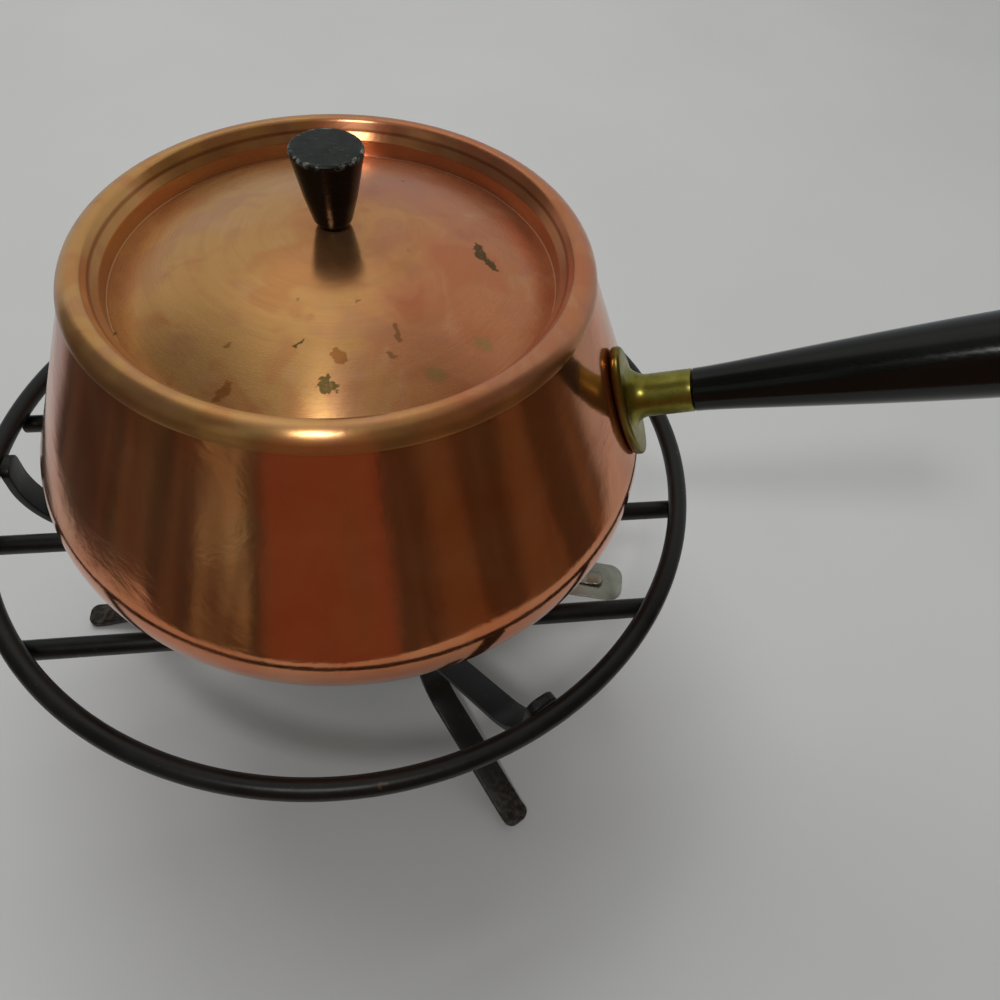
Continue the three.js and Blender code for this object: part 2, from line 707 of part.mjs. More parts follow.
function burnerHandle() {
  const level = cupRim - BURNER_HANDLE_SHEET / 2;
  const corners = [
    profilePoint(tabMiddle, level - BURNER_TAB_HEIGHT),
    profilePoint(tabMiddle, level),
    profilePoint(BURNER_HANDLE_RADIUS, level),
  ];
  const line = bentLine(corners, [BURNER_HANDLE_BEND]);
  const sheet = strap(line, BURNER_HANDLE_WIDTH, BURNER_HANDLE_SHEET, { start: 0, end: BURNER_HANDLE_CORNER });
  return piece('burner_handle', cut(sheet, burnerRivetHoles()), STEEL);
}

function ventHoles(bottom, top) {
  return Array.from({ length: VENT_COUNT }, (_, i) => {
    const angle = (2 * Math.PI * (i + 1 / 2)) / VENT_COUNT;
    const hole = post(VENT_RADIUS, bottom, top, FACETS.pin);
    return hole.translate(VENT_CIRCLE * Math.cos(angle), VENT_CIRCLE * Math.sin(angle), 0);
  });
}

// The cover's skirt stands on the cup's step. Its collar turns outward over the regulator.
function burnerCover() {
  const lipUnderside = regulatorTop + SEAT_GAP;
  const face = [
    profilePoint(coverRadius, stepUnderside + CUP_WALL + SEAT_GAP),
    profilePoint(coverRadius, coverTop),
    profilePoint(COVER_COLLAR_RADIUS, coverTop),
    profilePoint(COVER_COLLAR_RADIUS, lipUnderside),
    profilePoint(COVER_COLLAR_RADIUS + COVER_LIP_WIDTH, lipUnderside),
  ];
  const cover = turned(sheetProfile(face, COVER_SHEET), FACETS.medium);
  const margin = COVER_SHEET * 2;
  return piece('burner_cover', cut(cover, ventHoles(coverTop - margin, coverTop + COVER_SHEET)), STEEL);
}

// A ring with vent holes that turns about the cover's collar, and the lever that turns it.
function regulator() {
  const hole = COVER_COLLAR_RADIUS + SEAT_GAP;
  const profile = [
    profilePoint(hole, regulatorBottom),
    profilePoint(regulatorRadius, regulatorBottom),
    profilePoint(regulatorRadius, regulatorTop),
    profilePoint(hole, regulatorTop),
    profilePoint(hole, regulatorBottom),
  ];
  const plate = turned(profile, FACETS.medium);
  const level = (regulatorBottom + regulatorTop) / 2;
  const tipBend = REGULATOR_SHEET * 4;
  const root = regulatorRadius - VENT_RADIUS / 2;
  const line = bentLine([
    profilePoint(root, level),
    profilePoint(LEVER_RADIUS - LEVER_TIP.length, level),
    profilePoint(LEVER_RADIUS, level + LEVER_TIP.rise),
  ], [tipBend]);
  const lever = strap(line, LEVER_WIDTH, REGULATOR_SHEET, { start: 0, end: LEVER_CORNER });
  const margin = REGULATOR_SHEET;
  const holes = ventHoles(regulatorBottom - margin, regulatorTop + margin);
  return piece('regulator', cut(joined([plate, lever]), holes), STEEL);
}

function fuelWool() {
  const radius = cupRadius - CUP_WALL - SEAT_GAP;
  const bottom = cupFloor + CUP_WALL + SEAT_GAP;
  const top = stepUnderside - WOOL_FREEBOARD;
  const profile = [
    profilePoint(0, bottom),
    profilePoint(radius - CUP_ROUND, bottom),
    profilePoint(radius, bottom + CUP_ROUND),
    profilePoint(radius, top),
    profilePoint(0, top),
  ];
  return piece('fuel_wool', turned(profile, FACETS.medium), WOOL);
}

function gauzeDisc() {
  const bottom = stepUnderside - WOOL_FREEBOARD + SEAT_GAP;
  const disc = post(cupRadius - CUP_WALL - SEAT_GAP, bottom, bottom + GAUZE_THICKNESS, FACETS.medium);
  return piece('gauze_disc', disc, STEEL);
}

function burner() {
  const rivets = [-1, 1].map((side, i) => burnerRivet(`burner_rivet_${i + 1}`, side));
  return turnedBy(
    BURNER_TURN,
    burnerCup(),
    burnerHandle(),
    ...rivets,
    burnerCover(),
    regulator(),
    fuelWool(),
    gauzeDisc(),
  );
}

const fonduePot = new THREE.Group();
fonduePot.add(stand(), pot(), burner());

// The whole object moves so that the origin is the middle of its underside.
const box = new THREE.Box3().setFromObject(fonduePot, true);
const middle = box.getCenter(new THREE.Vector3());
fonduePot.position.set(-middle.x, -middle.y, -box.min.z);

export default fonduePot;
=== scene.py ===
"""Looks of the copper fondue pot on its stand. Lengths are millimetres unless a name says otherwise."""
import math
from functools import partial

import bmesh
import bpy
import numpy as np
from mathutils import Matrix, Vector


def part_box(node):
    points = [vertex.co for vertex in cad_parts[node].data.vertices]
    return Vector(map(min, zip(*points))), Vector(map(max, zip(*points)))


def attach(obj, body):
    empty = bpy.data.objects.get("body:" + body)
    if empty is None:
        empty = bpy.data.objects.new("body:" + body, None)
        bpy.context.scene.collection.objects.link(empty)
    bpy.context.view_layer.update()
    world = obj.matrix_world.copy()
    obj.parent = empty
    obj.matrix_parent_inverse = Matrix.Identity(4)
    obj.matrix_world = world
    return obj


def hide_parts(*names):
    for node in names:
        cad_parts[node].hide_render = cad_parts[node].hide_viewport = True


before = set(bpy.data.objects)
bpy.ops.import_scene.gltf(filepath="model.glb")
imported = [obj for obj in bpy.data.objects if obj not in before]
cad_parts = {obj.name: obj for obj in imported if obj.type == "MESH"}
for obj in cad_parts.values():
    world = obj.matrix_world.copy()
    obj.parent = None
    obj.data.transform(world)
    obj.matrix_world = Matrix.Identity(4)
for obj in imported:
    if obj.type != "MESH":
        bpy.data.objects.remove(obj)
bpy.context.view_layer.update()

METRE = 1000.0
TAU = 2 * math.pi
QUARTER = math.pi / 2
GAP = 0.3

# Stand, heights above the table
ROD = 3.35
RING_RADIUS, RING_HEIGHT = 125.0, 109.4
BAR_TURN, BAR_HEIGHT, BAR_REACH, BAR_EDGE = 17.1, 102.4, 126.0, 0.7
BAR_OFFSETS = (70.0, 28.5, -28.5, -70.0)
FIRST_LEG_TURN, LEG_COUNT = 76.3, 3
LEG_WIDTH, LEG_THICKNESS, LEG_CORNER, LEG_EDGE = 10.5, 3.0, 3.5, 0.5
LEG_LINE_RADIUS = 119.85
TAB_TOP, TAB_CORNER = 111.3, 83.1
ARMS_CROSS = (26.8, 28.4)
FOOT_START, FOOT_REACH = 118.1, 125.0
LEG_BENDS = (33.6, 20.0, 12.8)

# Pot, heights above its base
POT_BASE = 106.05
WALL = 1.2
FLOOR_RINGS = (20.0, 40.0, 60.0)
FLOOR_ZONE = 20.0
TURN_CENTRE, TURN_REACH = (79.1, 24.5), (22.4, 24.5)
SHOULDER = math.radians(23.03)
NECK_RADIUS, NECK_HEIGHT, NECK_FILLET = 75.5, 0.8, 0.6

# Lid, depths below the crown of its rolled edge
LID_SHEET = 0.6
EDGE_RADIUS = 76.6
ROLL_REACH, ROLL_START = (6.07, 7.3), math.radians(13.5)
CROWN_ROUND, CROWN_END = 2.2, math.radians(150)
CREASE_RADIUS, CREASE_DEPTH, CREASE_FILLET = 67.4, 3.5, 0.5
LEDGE_RADIUS, LEDGE_DEPTH, LEDGE_FILLET = 65.4, 5.8, 1.2
FOOT_RADIUS, FOOT_DEPTH, FOOT_FILLET = 65.0, 11.0, 0.4
PANEL_TOP = 5.54
HOLE_RADIUS = 1.8

# Knob: radius, height above the lid and fillet of each corner
KNOB_FOOT = (5.0, 0.0, 3.0)
KNOB_WAIST = (7.4, 9.0, 14.0)
KNOB_RIM = (10.0, 21.9, 0.6)
KNOB_FACE = (9.4, 22.4, 0.25)
KNOB_BORE = 12.0
WASHER_RADIUS, WASHER_THICKNESS = 7.0, 1.0
SCREW_RADIUS, SCREW_HEAD = 1.5, (4.0, 2.4)

# Handle, lengths along its axis from the shoulder
HANDLE_HEIGHT = 55.2
FERRULE_LENGTH, FERRULE_RADIUS, FERRULE_EDGE = 22.8, 6.7, 0.4
FERRULE_RINGS = (12.0, 15.0, 18.0, 21.0)
SOCKET_RADIUS, SOCKET_DEPTH = 3.3, 12.0
FLANGE_LENGTH, FLANGE_WIDTH, FLANGE_THICKNESS, FLANGE_DROP, FLANGE_EDGE = 22.0, 10.0, 3.2, 2.3, 1.2
FILLET_LENGTH, FILLET_WIDTH, FILLET_HEIGHT = 6.0, 2.4, 5.5
BRASS_RIVET_REACH, BRASS_RIVET_SHANK, BRASS_RIVET_HEAD = 16.5, 2.0, (4.2, 1.4)
GRIP_LENGTH, GRIP_RADIUS, GRIP_BUTT, GRIP_EDGE, GRIP_BORE = 150.0, 13.0, 12.0, 0.35, 40.0
GRIP_SLIM, GRIP_FULL, GRIP_WIDEST = 14.0, 70.0, 125.0

# Burner, heights above the table
BURNER_TURN = 2.7
CUP_RADIUS, CUP_WALL, CUP_FLOOR, CUP_ROUND = 45.0, 1.0, 11.39, 6.0
COLLAR_RADIUS, STEP_HEIGHT, RIM_HEIGHT = 53.87, 38.19, 50.19
COVER_TOP, COVER_SHEET, COVER_ROUND = 50.59, 0.8, 1.0
FLAME_HOLE, FLAME_LIP = 18.0, 19.6
VENT_COUNT, VENT_RADIUS, VENT_CIRCLE, VENT_SPARE = 8, 4.0, 32.0, 0.8
REGULATOR_HOLE, REGULATOR_RADIUS, REGULATOR_SHEET = 18.3, 42.0, 0.8
LEVER_START, LEVER_BEND, LEVER_END, LEVER_RISE, LEVER_WIDTH = 40.5, 100.0, 107.0, 1.0, 6.6
STRIP_SHEET, STRIP_DROP, STRIP_REACH, STRIP_WIDTH = 1.2, 9.5, 115.5, 17.8
CUP_RIVET_SHANK, CUP_RIVET_HEAD, CUP_RIVET_CAP = 1.5, 2.8, 1.0
CUP_RIVET_OFFSET, CUP_RIVET_DROP = 5.0, 6.0
GAUZE_RADIUS, GAUZE_SHEET, GAUZE_DEPTH = 43.7, 0.6, 2.5


def srgb(red, green, blue):
    """Linear colour of an 8-bit one."""
    shares = [c / 255 for c in (red, green, blue)]
    return tuple(s / 12.92 if s <= 0.04045 else ((s + 0.055) / 1.055) ** 2.4 for s in shares)


def arc(centre, reach, start, end, steps):
    """Points along an oval's arc, from angle to angle."""
    return [
        (centre[0] + reach[0] * math.cos(a), centre[1] + reach[1] * math.sin(a))
        for a in np.linspace(start, end, steps + 1)
    ]


def bezier(points, steps):
    """Points along a cubic curve."""
    made = []
    for t in np.linspace(0, 1, steps + 1):
        weights = ((1 - t) ** 3, 3 * t * (1 - t) ** 2, 3 * t * t * (1 - t), t**3)
        made.append(tuple(sum(w * p[k] for w, p in zip(weights, points)) for k in range(2)))
    return made


def spun(vector, angle):
    return Vector((
        vector.x * math.cos(angle) - vector.y * math.sin(angle),
        vector.x * math.sin(angle) + vector.y * math.cos(angle),
    ))


def bend(previous, corner, following, radius):
    """Direction before a corner, its turn, and where the arc that rounds it starts and has its centre."""
    here = Vector(corner)
    before = (here - Vector(previous)).normalized()
    after = (Vector(following) - here).normalized()
    turn = math.atan2(before.x * after.y - before.y * after.x, before.dot(after))
    start = here - before * radius * math.tan(abs(turn) / 2)
    centre = start + Vector((-before.y, before.x)) * math.copysign(radius, turn)
    return before, turn, start, centre


def rounded(corners, closed=False, steps=6):
    """Line through corners (x, y, fillet), each rounded by its fillet."""
    points = []
    count = len(corners)
    for i, (x, y, fillet) in enumerate(corners):
        at_end = not closed and i in (0, count - 1)
        if fillet <= 0 or at_end:
            points.append((x, y))
            continue
        _, turn, start, centre = bend(corners[i - 1][:2], (x, y), corners[(i + 1) % count][:2], fillet)
        points += [tuple(centre + spun(start - centre, turn * k / steps)) for k in range(steps + 1)]
    return points


def offset_left(line, distance):
    """Open line moved to its left, corners kept."""
    moved = []
    for i, point in enumerate(line):
        here = Vector(point)
        before = (here - Vector(line[i - 1])).normalized() if i else None
        after = (Vector(line[i + 1]) - here).normalized() if i < len(line) - 1 else None
        along = ((before or after) + (after or before)).normalized()
        spread = distance / along.dot(after or before)
        moved.append((here.x - along.y * spread, here.y + along.x * spread))
    return moved


def lathe(profile, segments, closed=False):
    """Vertices and faces of a turned form. The profile is (radius, height)."""
    verts, rows, faces = [], [], []
    for radius, height in profile:
        if radius < 1e-6:
            rows.append([len(verts)])
            verts.append((0.0, 0.0, height))
            continue
        rows.append(list(range(len(verts), len(verts) + segments)))
        for j in range(segments):
            a = TAU * j / segments
            verts.append((radius * math.cos(a), radius * math.sin(a), height))
    pairs = list(zip(rows, rows[1:])) + ([(rows[-1], rows[0])] if closed else [])
    for low, high in pairs:
        if len(low) == 1 and len(high) == 1:
            continue
        for j in range(segments):
            k = (j + 1) % segments
            if len(low) == 1:
                faces.append((low[0], high[k], high[j]))
            elif len(high) == 1:
                faces.append((low[j], low[k], high[0]))
            else:
                faces.append((low[j], low[k], high[k], high[j]))
    return verts, faces


def loft(sections):
    """Vertices and faces of a skin over closed sections, each end closed by a fan."""
    count = len(sections[0])
    verts = [tuple(p) for section in sections for p in section]
    faces = []
    for i in range(len(sections) - 1):
        for j in range(count):
            k = (j + 1) % count
            faces.append((i * count + j, i * count + k, (i + 1) * count + k, (i + 1) * count + j))
    for start in (0, (len(sections) - 1) * count):
        centre = np.mean([verts[start + j] for j in range(count)], axis=0)
        verts.append(tuple(centre))
        for j in range(count):
            faces.append((len(verts) - 1, start + j, start + (j + 1) % count))
    return verts, faces


def bent_line(corners, bends, step=math.radians(3)):
    """Stations (point, direction) along a strap's line."""
    first, last = Vector(corners[0]), Vector(corners[-1])
    stations = [(first, (Vector(corners[1]) - first).normalized())]
    for number, radius in enumerate(bends, start=1):
        before, turn, start, centre = bend(*corners[number - 1:number + 2], radius)
        steps = max(2, math.ceil(abs(turn) / step))
        for k in range(steps + 1):
            angle = turn * k / steps
            stations.append((centre + spun(start - centre, angle), spun(before, angle)))
    stations.append((last, (last - Vector(corners[-2])).normalized()))
    return stations


def strap_section(point, along, across, thick, edge):
    """Outline of a strap across its line, from half its width and thickness, with rounded corners."""
    side = Vector((-along.y, along.x))
    radius = min(edge, across * 0.9, thick * 0.9)
    section = []
    for number, (right, up) in enumerate(((1, 1), (-1, 1), (-1, -1), (1, -1))):
        for share in (0, 1 / 3, 2 / 3, 1):
            a = QUARTER * (number + share)
            spot = point + side * (up * (thick - radius) + radius * math.sin(a))
            section.append((spot.x, right * (across - radius) + radius * math.cos(a), spot.y))
    return section


def strap(corners, bends, width, thickness, start_corner, end_corner, edge):
    """Flat strap in the upright XZ plane with softened edges, its ends' corners rounded."""
    stations = bent_line(corners, bends)
    half, thick = width / 2, thickness / 2

    def end_rows(station, inward, corner):
        """Rows from an end inwards. The first two lead up to the full thickness."""
        end, along = station
        tip = half - corner
        rows = [
            (end, along, tip, thick - edge),
            (end + along * inward * edge * 0.3, along, tip + edge * 0.6, thick - edge * 0.3),
        ]
        for a in np.linspace(0, QUARTER, 13)[1:]:
            point = end + along * inward * corner * (1 - math.cos(a))
            rows.append((point, along, tip + corner * math.sin(a), thick))
        return rows

    rows = end_rows(stations[0], 1, start_corner)
    rows += [(point, along, half, thick) for point, along in stations[1:-1]]
    rows += end_rows(stations[-1], -1, end_corner)[::-1]
    return loft([strap_section(*row, edge) for row in rows])


def shade(mesh, sharp_degrees, turn_outwards=False):
    """Smooth faces, with the edges that bend more than an angle left crisp."""
    form = bmesh.new()
    form.from_mesh(mesh)
    if turn_outwards:
        bmesh.ops.recalc_face_normals(form, faces=form.faces)
    for face in form.faces:
        face.smooth = True
    for edge in form.edges:
        if len(edge.link_faces) == 2:
            edge.smooth = edge.calc_face_angle() <= math.radians(sharp_degrees)
    form.to_mesh(mesh)
    form.free()


def linked(name, data):
    """New object in the scene, made of a mesh, a lamp or a camera."""
    obj = bpy.data.objects.new(name, data)
    bpy.context.scene.collection.objects.link(obj)
    return obj


def mesh_object(name, verts, faces):
    mesh = bpy.data.meshes.new(name)
    mesh.from_pydata(verts, [], faces)
    return linked(name, mesh)


def piece(name, form, place, *nodes, body, slot, material):
    """A piece of the object from vertices and faces, standing for CAD nodes."""
    verts, faces = form
    matrix = Matrix.Scale(1 / METRE, 4) @ place
    obj = mesh_object(name, [matrix @ Vector(v) for v in verts], faces)
    shade(obj.data, 35, turn_outwards=True)
    obj.data.materials.append(material)
    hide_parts(*nodes)
    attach(obj, body)
    return obj


class Nodes:
    """A node tree with a short call for each kind of node."""

    def __init__(self, tree):
        self.tree = tree

    def node(self, kind, **settings):
        made = self.tree.nodes.new("ShaderNode" + kind)
        for key, value in settings.items():
            setattr(made, key, value)
        return made

    def feed(self, socket, value):
        """Link or set a socket. A colour of three numbers is made opaque."""
        if isinstance(value, bpy.types.NodeSocket):
            self.tree.links.new(value, socket)
        elif isinstance(value, tuple) and len(value) == 3 and socket.type == "RGBA":
            socket.default_value = (*value, 1.0)
        else:
            socket.default_value = value

    def fed(self, made, *values):
        """A node with its first sockets linked or set."""
        for socket, value in zip(made.inputs, values):
            self.feed(socket, value)
        return made

    def math(self, operation, a, b=0.0, clamp=False):
        return self.fed(self.node("Math", operation=operation, use_clamp=clamp), a, b).outputs[0]

    def times(self, a, b):
        return self.math("MULTIPLY", a, b)

    def vector(self, operation, a, b=(0.0, 0.0, 0.0)):
        made = self.fed(self.node("VectorMath", operation=operation), a, b)
        return made.outputs["Value" if operation in ("LENGTH", "DISTANCE", "DOT_PRODUCT") else "Vector"]

    def scaled(self, a, factor):
        made = self.fed(self.node("VectorMath", operation="SCALE"), a)
        self.feed(made.inputs["Scale"], factor)
        return made.outputs["Vector"]

    def place(self, centre=(0.0, 0.0, 0.0)):
        """Millimetres from a centre in the row frame."""
        coordinates = self.node("TexCoord").outputs["Object"]
        return self.vector("SUBTRACT", self.scaled(coordinates, METRE), centre)

    def split(self, vector):
        return self.fed(self.node("SeparateXYZ"), vector).outputs

    def join(self, x, y, z):
        return self.fed(self.node("CombineXYZ"), x, y, z).outputs[0]

    def stretched(self, parts, factors):
        """Vector of three parts, each times its factor."""
        return self.join(*[self.times(part, factor) for part, factor in zip(parts, factors)])

    def noise(self, vector, scale, detail=4.0, roughness=0.55, distortion=0.0):
        """Soft noise about 0.5, with a scale in waves per unit of the vector."""
        made = self.node("TexNoise")
        self.feed(made.inputs["Vector"], vector)
        settings = {"Scale": scale, "Detail": detail, "Roughness": roughness, "Distortion": distortion}
        for socket, value in settings.items():
            made.inputs[socket].default_value = value
        return made.outputs["Fac"]

    def specks(self, vector, scale, core, rim):
        """Dots at scattered points, from 1 within the core to 0 outside the rim."""
        made = self.node("TexVoronoi")
        self.feed(made.inputs["Vector"], vector)
        made.inputs["Scale"].default_value = scale
        return self.spread(made.outputs["Distance"], core, rim, 1.0, 0.0)

    def spread(self, value, low, high, to_low=0.0, to_high=1.0, smooth=False):
        """A value from low to high, carried over to another range and held at its ends."""
        kind = "SMOOTHSTEP" if smooth else "LINEAR"
        made = self.node("MapRange", clamp=True, interpolation_type=kind)
        return self.fed(made, value, low, high, to_low, to_high).outputs[0]

    def mix(self, share, a, b):
        made = self.node("Mix", data_type="RGBA")
        share_socket, first_colour, second_colour = (made.inputs[i] for i in (0, 6, 7))
        self.feed(share_socket, share)
        self.feed(first_colour, a)
        self.feed(second_colour, b)
        return made.outputs[2]

    def bump(self, height, depth, strength, under=None):
        """Normal of a relief that is so many millimetres deep, on top of another one."""
        made = self.node("Bump")
        made.inputs["Strength"].default_value = strength
        made.inputs["Distance"].default_value = depth / METRE
        self.feed(made.inputs["Height"], height)
        if under is not None:
            self.feed(made.inputs["Normal"], under)
        return made.outputs[0]


class Shader(Nodes):
    """One procedural material. Plain values go straight to the surface's sockets."""

    def __init__(self, name, **plain):
        self.material = bpy.data.materials.new(name)
        self.material.use_nodes = True
        super().__init__(self.material.node_tree)
        self.surface = self.tree.nodes["Principled BSDF"]
        self.set(**plain)

    def set(self, **values):
        """Feed the surface's sockets, and hand back the material."""
        for socket, value in values.items():
            self.feed(self.surface.inputs[socket.replace("_", " ")], value)
        return self.material

    def round_axis(self, centre):
        """Radius, unit direction and height of a point about an upright axis."""
        x, y, z = self.split(self.place(centre))
        radius = self.vector("LENGTH", self.join(x, y, 0.0))
        safe = self.math("MAXIMUM", radius, 0.5)
        return radius, self.math("DIVIDE", x, safe), self.math("DIVIDE", y, safe), z


stand_low, stand_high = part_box("stand_ring")
stand_x = (stand_low.x + stand_high.x) / 2 * METRE
lid_low, lid_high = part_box("lid_cover")
pot_x = (lid_low.x + lid_high.x) / 2 * METRE
pot_y = (lid_low.y + lid_high.y) / 2 * METRE
POT_AXIS = (pot_x, pot_y, 0.0)
AT_STAND = Matrix.Translation((stand_x, 0, 0))
AT_POT = Matrix.Translation((pot_x, pot_y, POT_BASE))


def turned_on_stand(degrees):
    return AT_STAND @ Matrix.Rotation(math.radians(degrees), 4, "Z")


# Materials


def copper_pot():
    s = Shader("copper_body", Metallic=0.94, Specular_IOR_Level=0.3)
    _, east, north, height = s.round_axis(POT_AXIS)
    place = s.place(POT_AXIS)
    lines = s.noise(s.stretched((east, north, height), (3.0, 3.0, 1.6)), 1.0, 6.0, 0.7)
    streaks = s.noise(s.stretched((east, north, height), (5.0, 5.0, 0.012)), 1.0, 3.0)
    clouds = s.noise(place, 0.03, 5.0, 0.6, 0.4)
    fine = s.noise(place, 0.35, 5.0, 0.65)
    tone = s.mix(s.spread(clouds, 0.35, 0.65), srgb(228, 150, 104), srgb(216, 126, 78))
    tone = s.mix(s.spread(streaks, 0.52, 0.72, 0.0, 0.5), tone, srgb(206, 156, 98))
    tone = s.mix(s.spread(lines, 0.35, 0.75, 0.0, 0.16), tone, srgb(150, 86, 50))
    pits = s.specks(s.vector("MULTIPLY", place, (1.0, 1.0, 0.7)), 0.11, 0.03, 0.075)
    pits = s.times(pits, s.spread(fine, 0.5, 0.62))
    tone = s.mix(s.times(pits, 0.75), tone, srgb(84, 46, 30))
    polish = s.spread(s.noise(place, 0.05, 4.0), 0.4, 0.6, 0.085, 0.125)
    return s.set(
        Base_Color=tone,
        Roughness=s.math("ADD", polish, s.spread(lines, 0.3, 0.8, 0.0, 0.05)),
        Normal=s.bump(lines, 0.012, 0.4, s.bump(clouds, 0.9, 0.3)),
    )


def tin_lining():
    s = Shader("tin_lining", Metallic=1.0)
    place = s.place()
    clouds = s.noise(place, 0.05, 5.0)
    swirl = s.noise(s.vector("MULTIPLY", place, (0.3, 0.3, 2.5)), 1.0, 4.0)
    return s.set(
        Base_Color=s.mix(s.spread(clouds, 0.35, 0.65), srgb(206, 204, 198), srgb(182, 180, 172)),
        Roughness=s.spread(swirl, 0.3, 0.7, 0.26, 0.4),
        Normal=s.bump(swirl, 0.02, 0.4),
    )


# Marks on the lid: two ends about the pot's axis and half a width
DARK_MARKS = (
    (39.8, 9.6, 41.5, 5.5, 1.5), (42.4, 5.2, 45.5, 3.6, 1.4), (12.2, -51.3, 14.9, -51.6, 1.3),
    (12.7, -50.3, 13.4, -53.0, 1.2), (2.3, -43.9, 4.3, -42.0, 0.4),
)
FAINT_MARKS = (
    (25.9, -31.0, 28.1, -34.4, 0.8), (-14.9, -46.4, -14.0, -45.8, 0.4), (26.3, -39.0, 27.2, -39.2, 0.6),
    (14.4, -27.0, 15.0, -26.4, 0.4), (-0.9, -30.1, -0.8, -30.4, 0.3),
)
BROWN_MARKS = ((13.6, -43.4, 14.9, -44.1, 1.7), (-12.7, -58.8, -11.2, -57.0, 1.5))
GREEN_MARKS = ((47.8, -25.5, 49.2, -25.4, 2.0), (37.9, -39.8, 39.7, -39.3, 1.8))


def near_marks(s, place, marks, soft):
    """Share of a stain along each mark's line, softened over a distance."""
    shares = None
    for start_x, start_y, end_x, end_y, half in marks:
        line = Vector((end_x - start_x, end_y - start_y, 0))
        offset = s.vector("SUBTRACT", place, (start_x, start_y, 0.0))
        along = s.vector("DOT_PRODUCT", offset, tuple(line / line.length_squared))
        along = s.math("MULTIPLY", along, 1.0, clamp=True)
        away = s.vector("DISTANCE", offset, s.scaled(tuple(line), along))
        share = s.spread(away, half - soft, half + soft, 1.0, 0.0, smooth=True)
        shares = share if shares is None else s.math("MAXIMUM", shares, share)
    return shares


def lid_metal(s, place, clouds):
    """Copper from gold to rose across the lid, with blotches and old stains."""
    x, y, _ = s.split(place)
    side = s.math("ADD", s.times(x, 0.018), s.times(y, 0.010))
    pink = s.math("ADD", side, s.times(s.math("SUBTRACT", clouds, 0.5), 2.6))
    blots = s.noise(s.vector("ADD", place, (40.0, 10.0, 0.0)), 0.055, 5.0, 0.65, 0.8)
    stained = s.noise(s.vector("ADD", place, (13.0, 71.0, 0.0)), 0.045, 2.0, 0.5, 0.3)
    tone = s.mix(s.spread(pink, -0.35, 0.75, smooth=True), srgb(226, 172, 108), srgb(216, 142, 102))
    tone = s.mix(s.spread(blots, 0.55, 0.68, 0.0, 0.6), tone, srgb(228, 176, 130))
    tone = s.mix(s.spread(blots, 0.42, 0.3, 0.0, 0.35), tone, srgb(190, 104, 74))
    tone = s.mix(s.spread(stained, 0.55, 0.60, 0.0, 0.26), tone, srgb(204, 108, 72))
    return s.mix(s.spread(stained, 0.44, 0.39, 0.0, 0.3), tone, srgb(196, 132, 112))


def lid_tarnish_and_painted_shade(s, tone, radius, height, clouds, broad):
    """Tone with tarnish and painted shade: a blotched darker tint on the sunk wall, partly tarnish and partly
    painted shade; painted shade in its crease; a paler rose on its upright part; and a band low on the rolled
    edge, painted shade where it turns under, over some tarnish.
    """
    crown = lid_high.z * METRE - PANEL_TOP
    ledge = crown - LEDGE_DEPTH
    wall = s.times(
        s.spread(radius, FOOT_RADIUS - 0.8, FOOT_RADIUS + 0.2, smooth=True),
        s.spread(radius, CREASE_RADIUS + 0.8, CREASE_RADIUS, smooth=True),
    )
    crease = s.times(
        s.spread(radius, CREASE_RADIUS - 0.4, CREASE_RADIUS - 0.1, smooth=True),
        s.spread(radius, CREASE_RADIUS + 0.5, CREASE_RADIUS + 0.2, smooth=True),
    )
    upright = s.times(
        s.spread(radius, FOOT_RADIUS - 0.4, FOOT_RADIUS - 0.05),
        s.spread(height, ledge, ledge - 0.8),
    )
    low = s.times(
        s.spread(height, POT_BASE + 94.6, POT_BASE + 92.6, smooth=True),
        s.spread(radius, 71.0, 73.0),
    )
    # The sunk wall's blotched darker tint is partly tarnish and partly painted shade in the recess.
    tone = s.mix(s.times(wall, s.spread(clouds, 0.3, 0.6, 0.3, 0.6)), tone, srgb(170, 112, 68))
    # Painted shade darkens the crease.
    tone = s.mix(s.times(crease, 0.5), tone, srgb(120, 56, 28))
    tone = s.mix(s.times(upright, 0.75), tone, srgb(178, 134, 102))
    # The band low on the rolled edge, where it turns under, is painted shade over some tarnish.
    return s.mix(s.times(low, s.spread(broad, 0.25, 0.6, 0.55, 0.9)), tone, srgb(186, 122, 66))


def lid_marks(s, tone, place):
    """Tone with the lid's marks and specks, and the share of the dark ones."""
    x, y, _ = s.split(place)
    ripple = s.join(s.noise(place, 0.5, 3.0), s.noise(s.vector("ADD", place, (9.0, 3.0, 5.0)), 0.5, 3.0), 0.0)
    ripple = s.scaled(s.vector("SUBTRACT", ripple, (0.5, 0.5, 0.0)), 4.0)
    warped = s.vector("ADD", s.join(x, y, 0.0), ripple)
    for marks, soft, share, colour in (
        (BROWN_MARKS, 0.3, 0.7, srgb(160, 92, 40)),
        (GREEN_MARKS, 1.0, 0.5, srgb(150, 140, 84)),
        (FAINT_MARKS, 0.3, 0.6, srgb(120, 84, 44)),
    ):
        tone = s.mix(s.times(near_marks(s, warped, marks, soft), share), tone, colour)
    where = s.spread(s.noise(place, 0.25, 2.0), 0.5, 0.62, 0.0, 0.7)
    depth = s.spread(s.noise(place, 1.1, 3.0), 0.3, 0.5, 0.7, 0.95)
    specks = s.times(s.specks(place, 0.09, 0.035, 0.07), where)
    dark = s.math("MAXIMUM", s.times(near_marks(s, warped, DARK_MARKS, 0.25), depth), specks)
    return s.mix(dark, tone, srgb(92, 78, 40)), dark


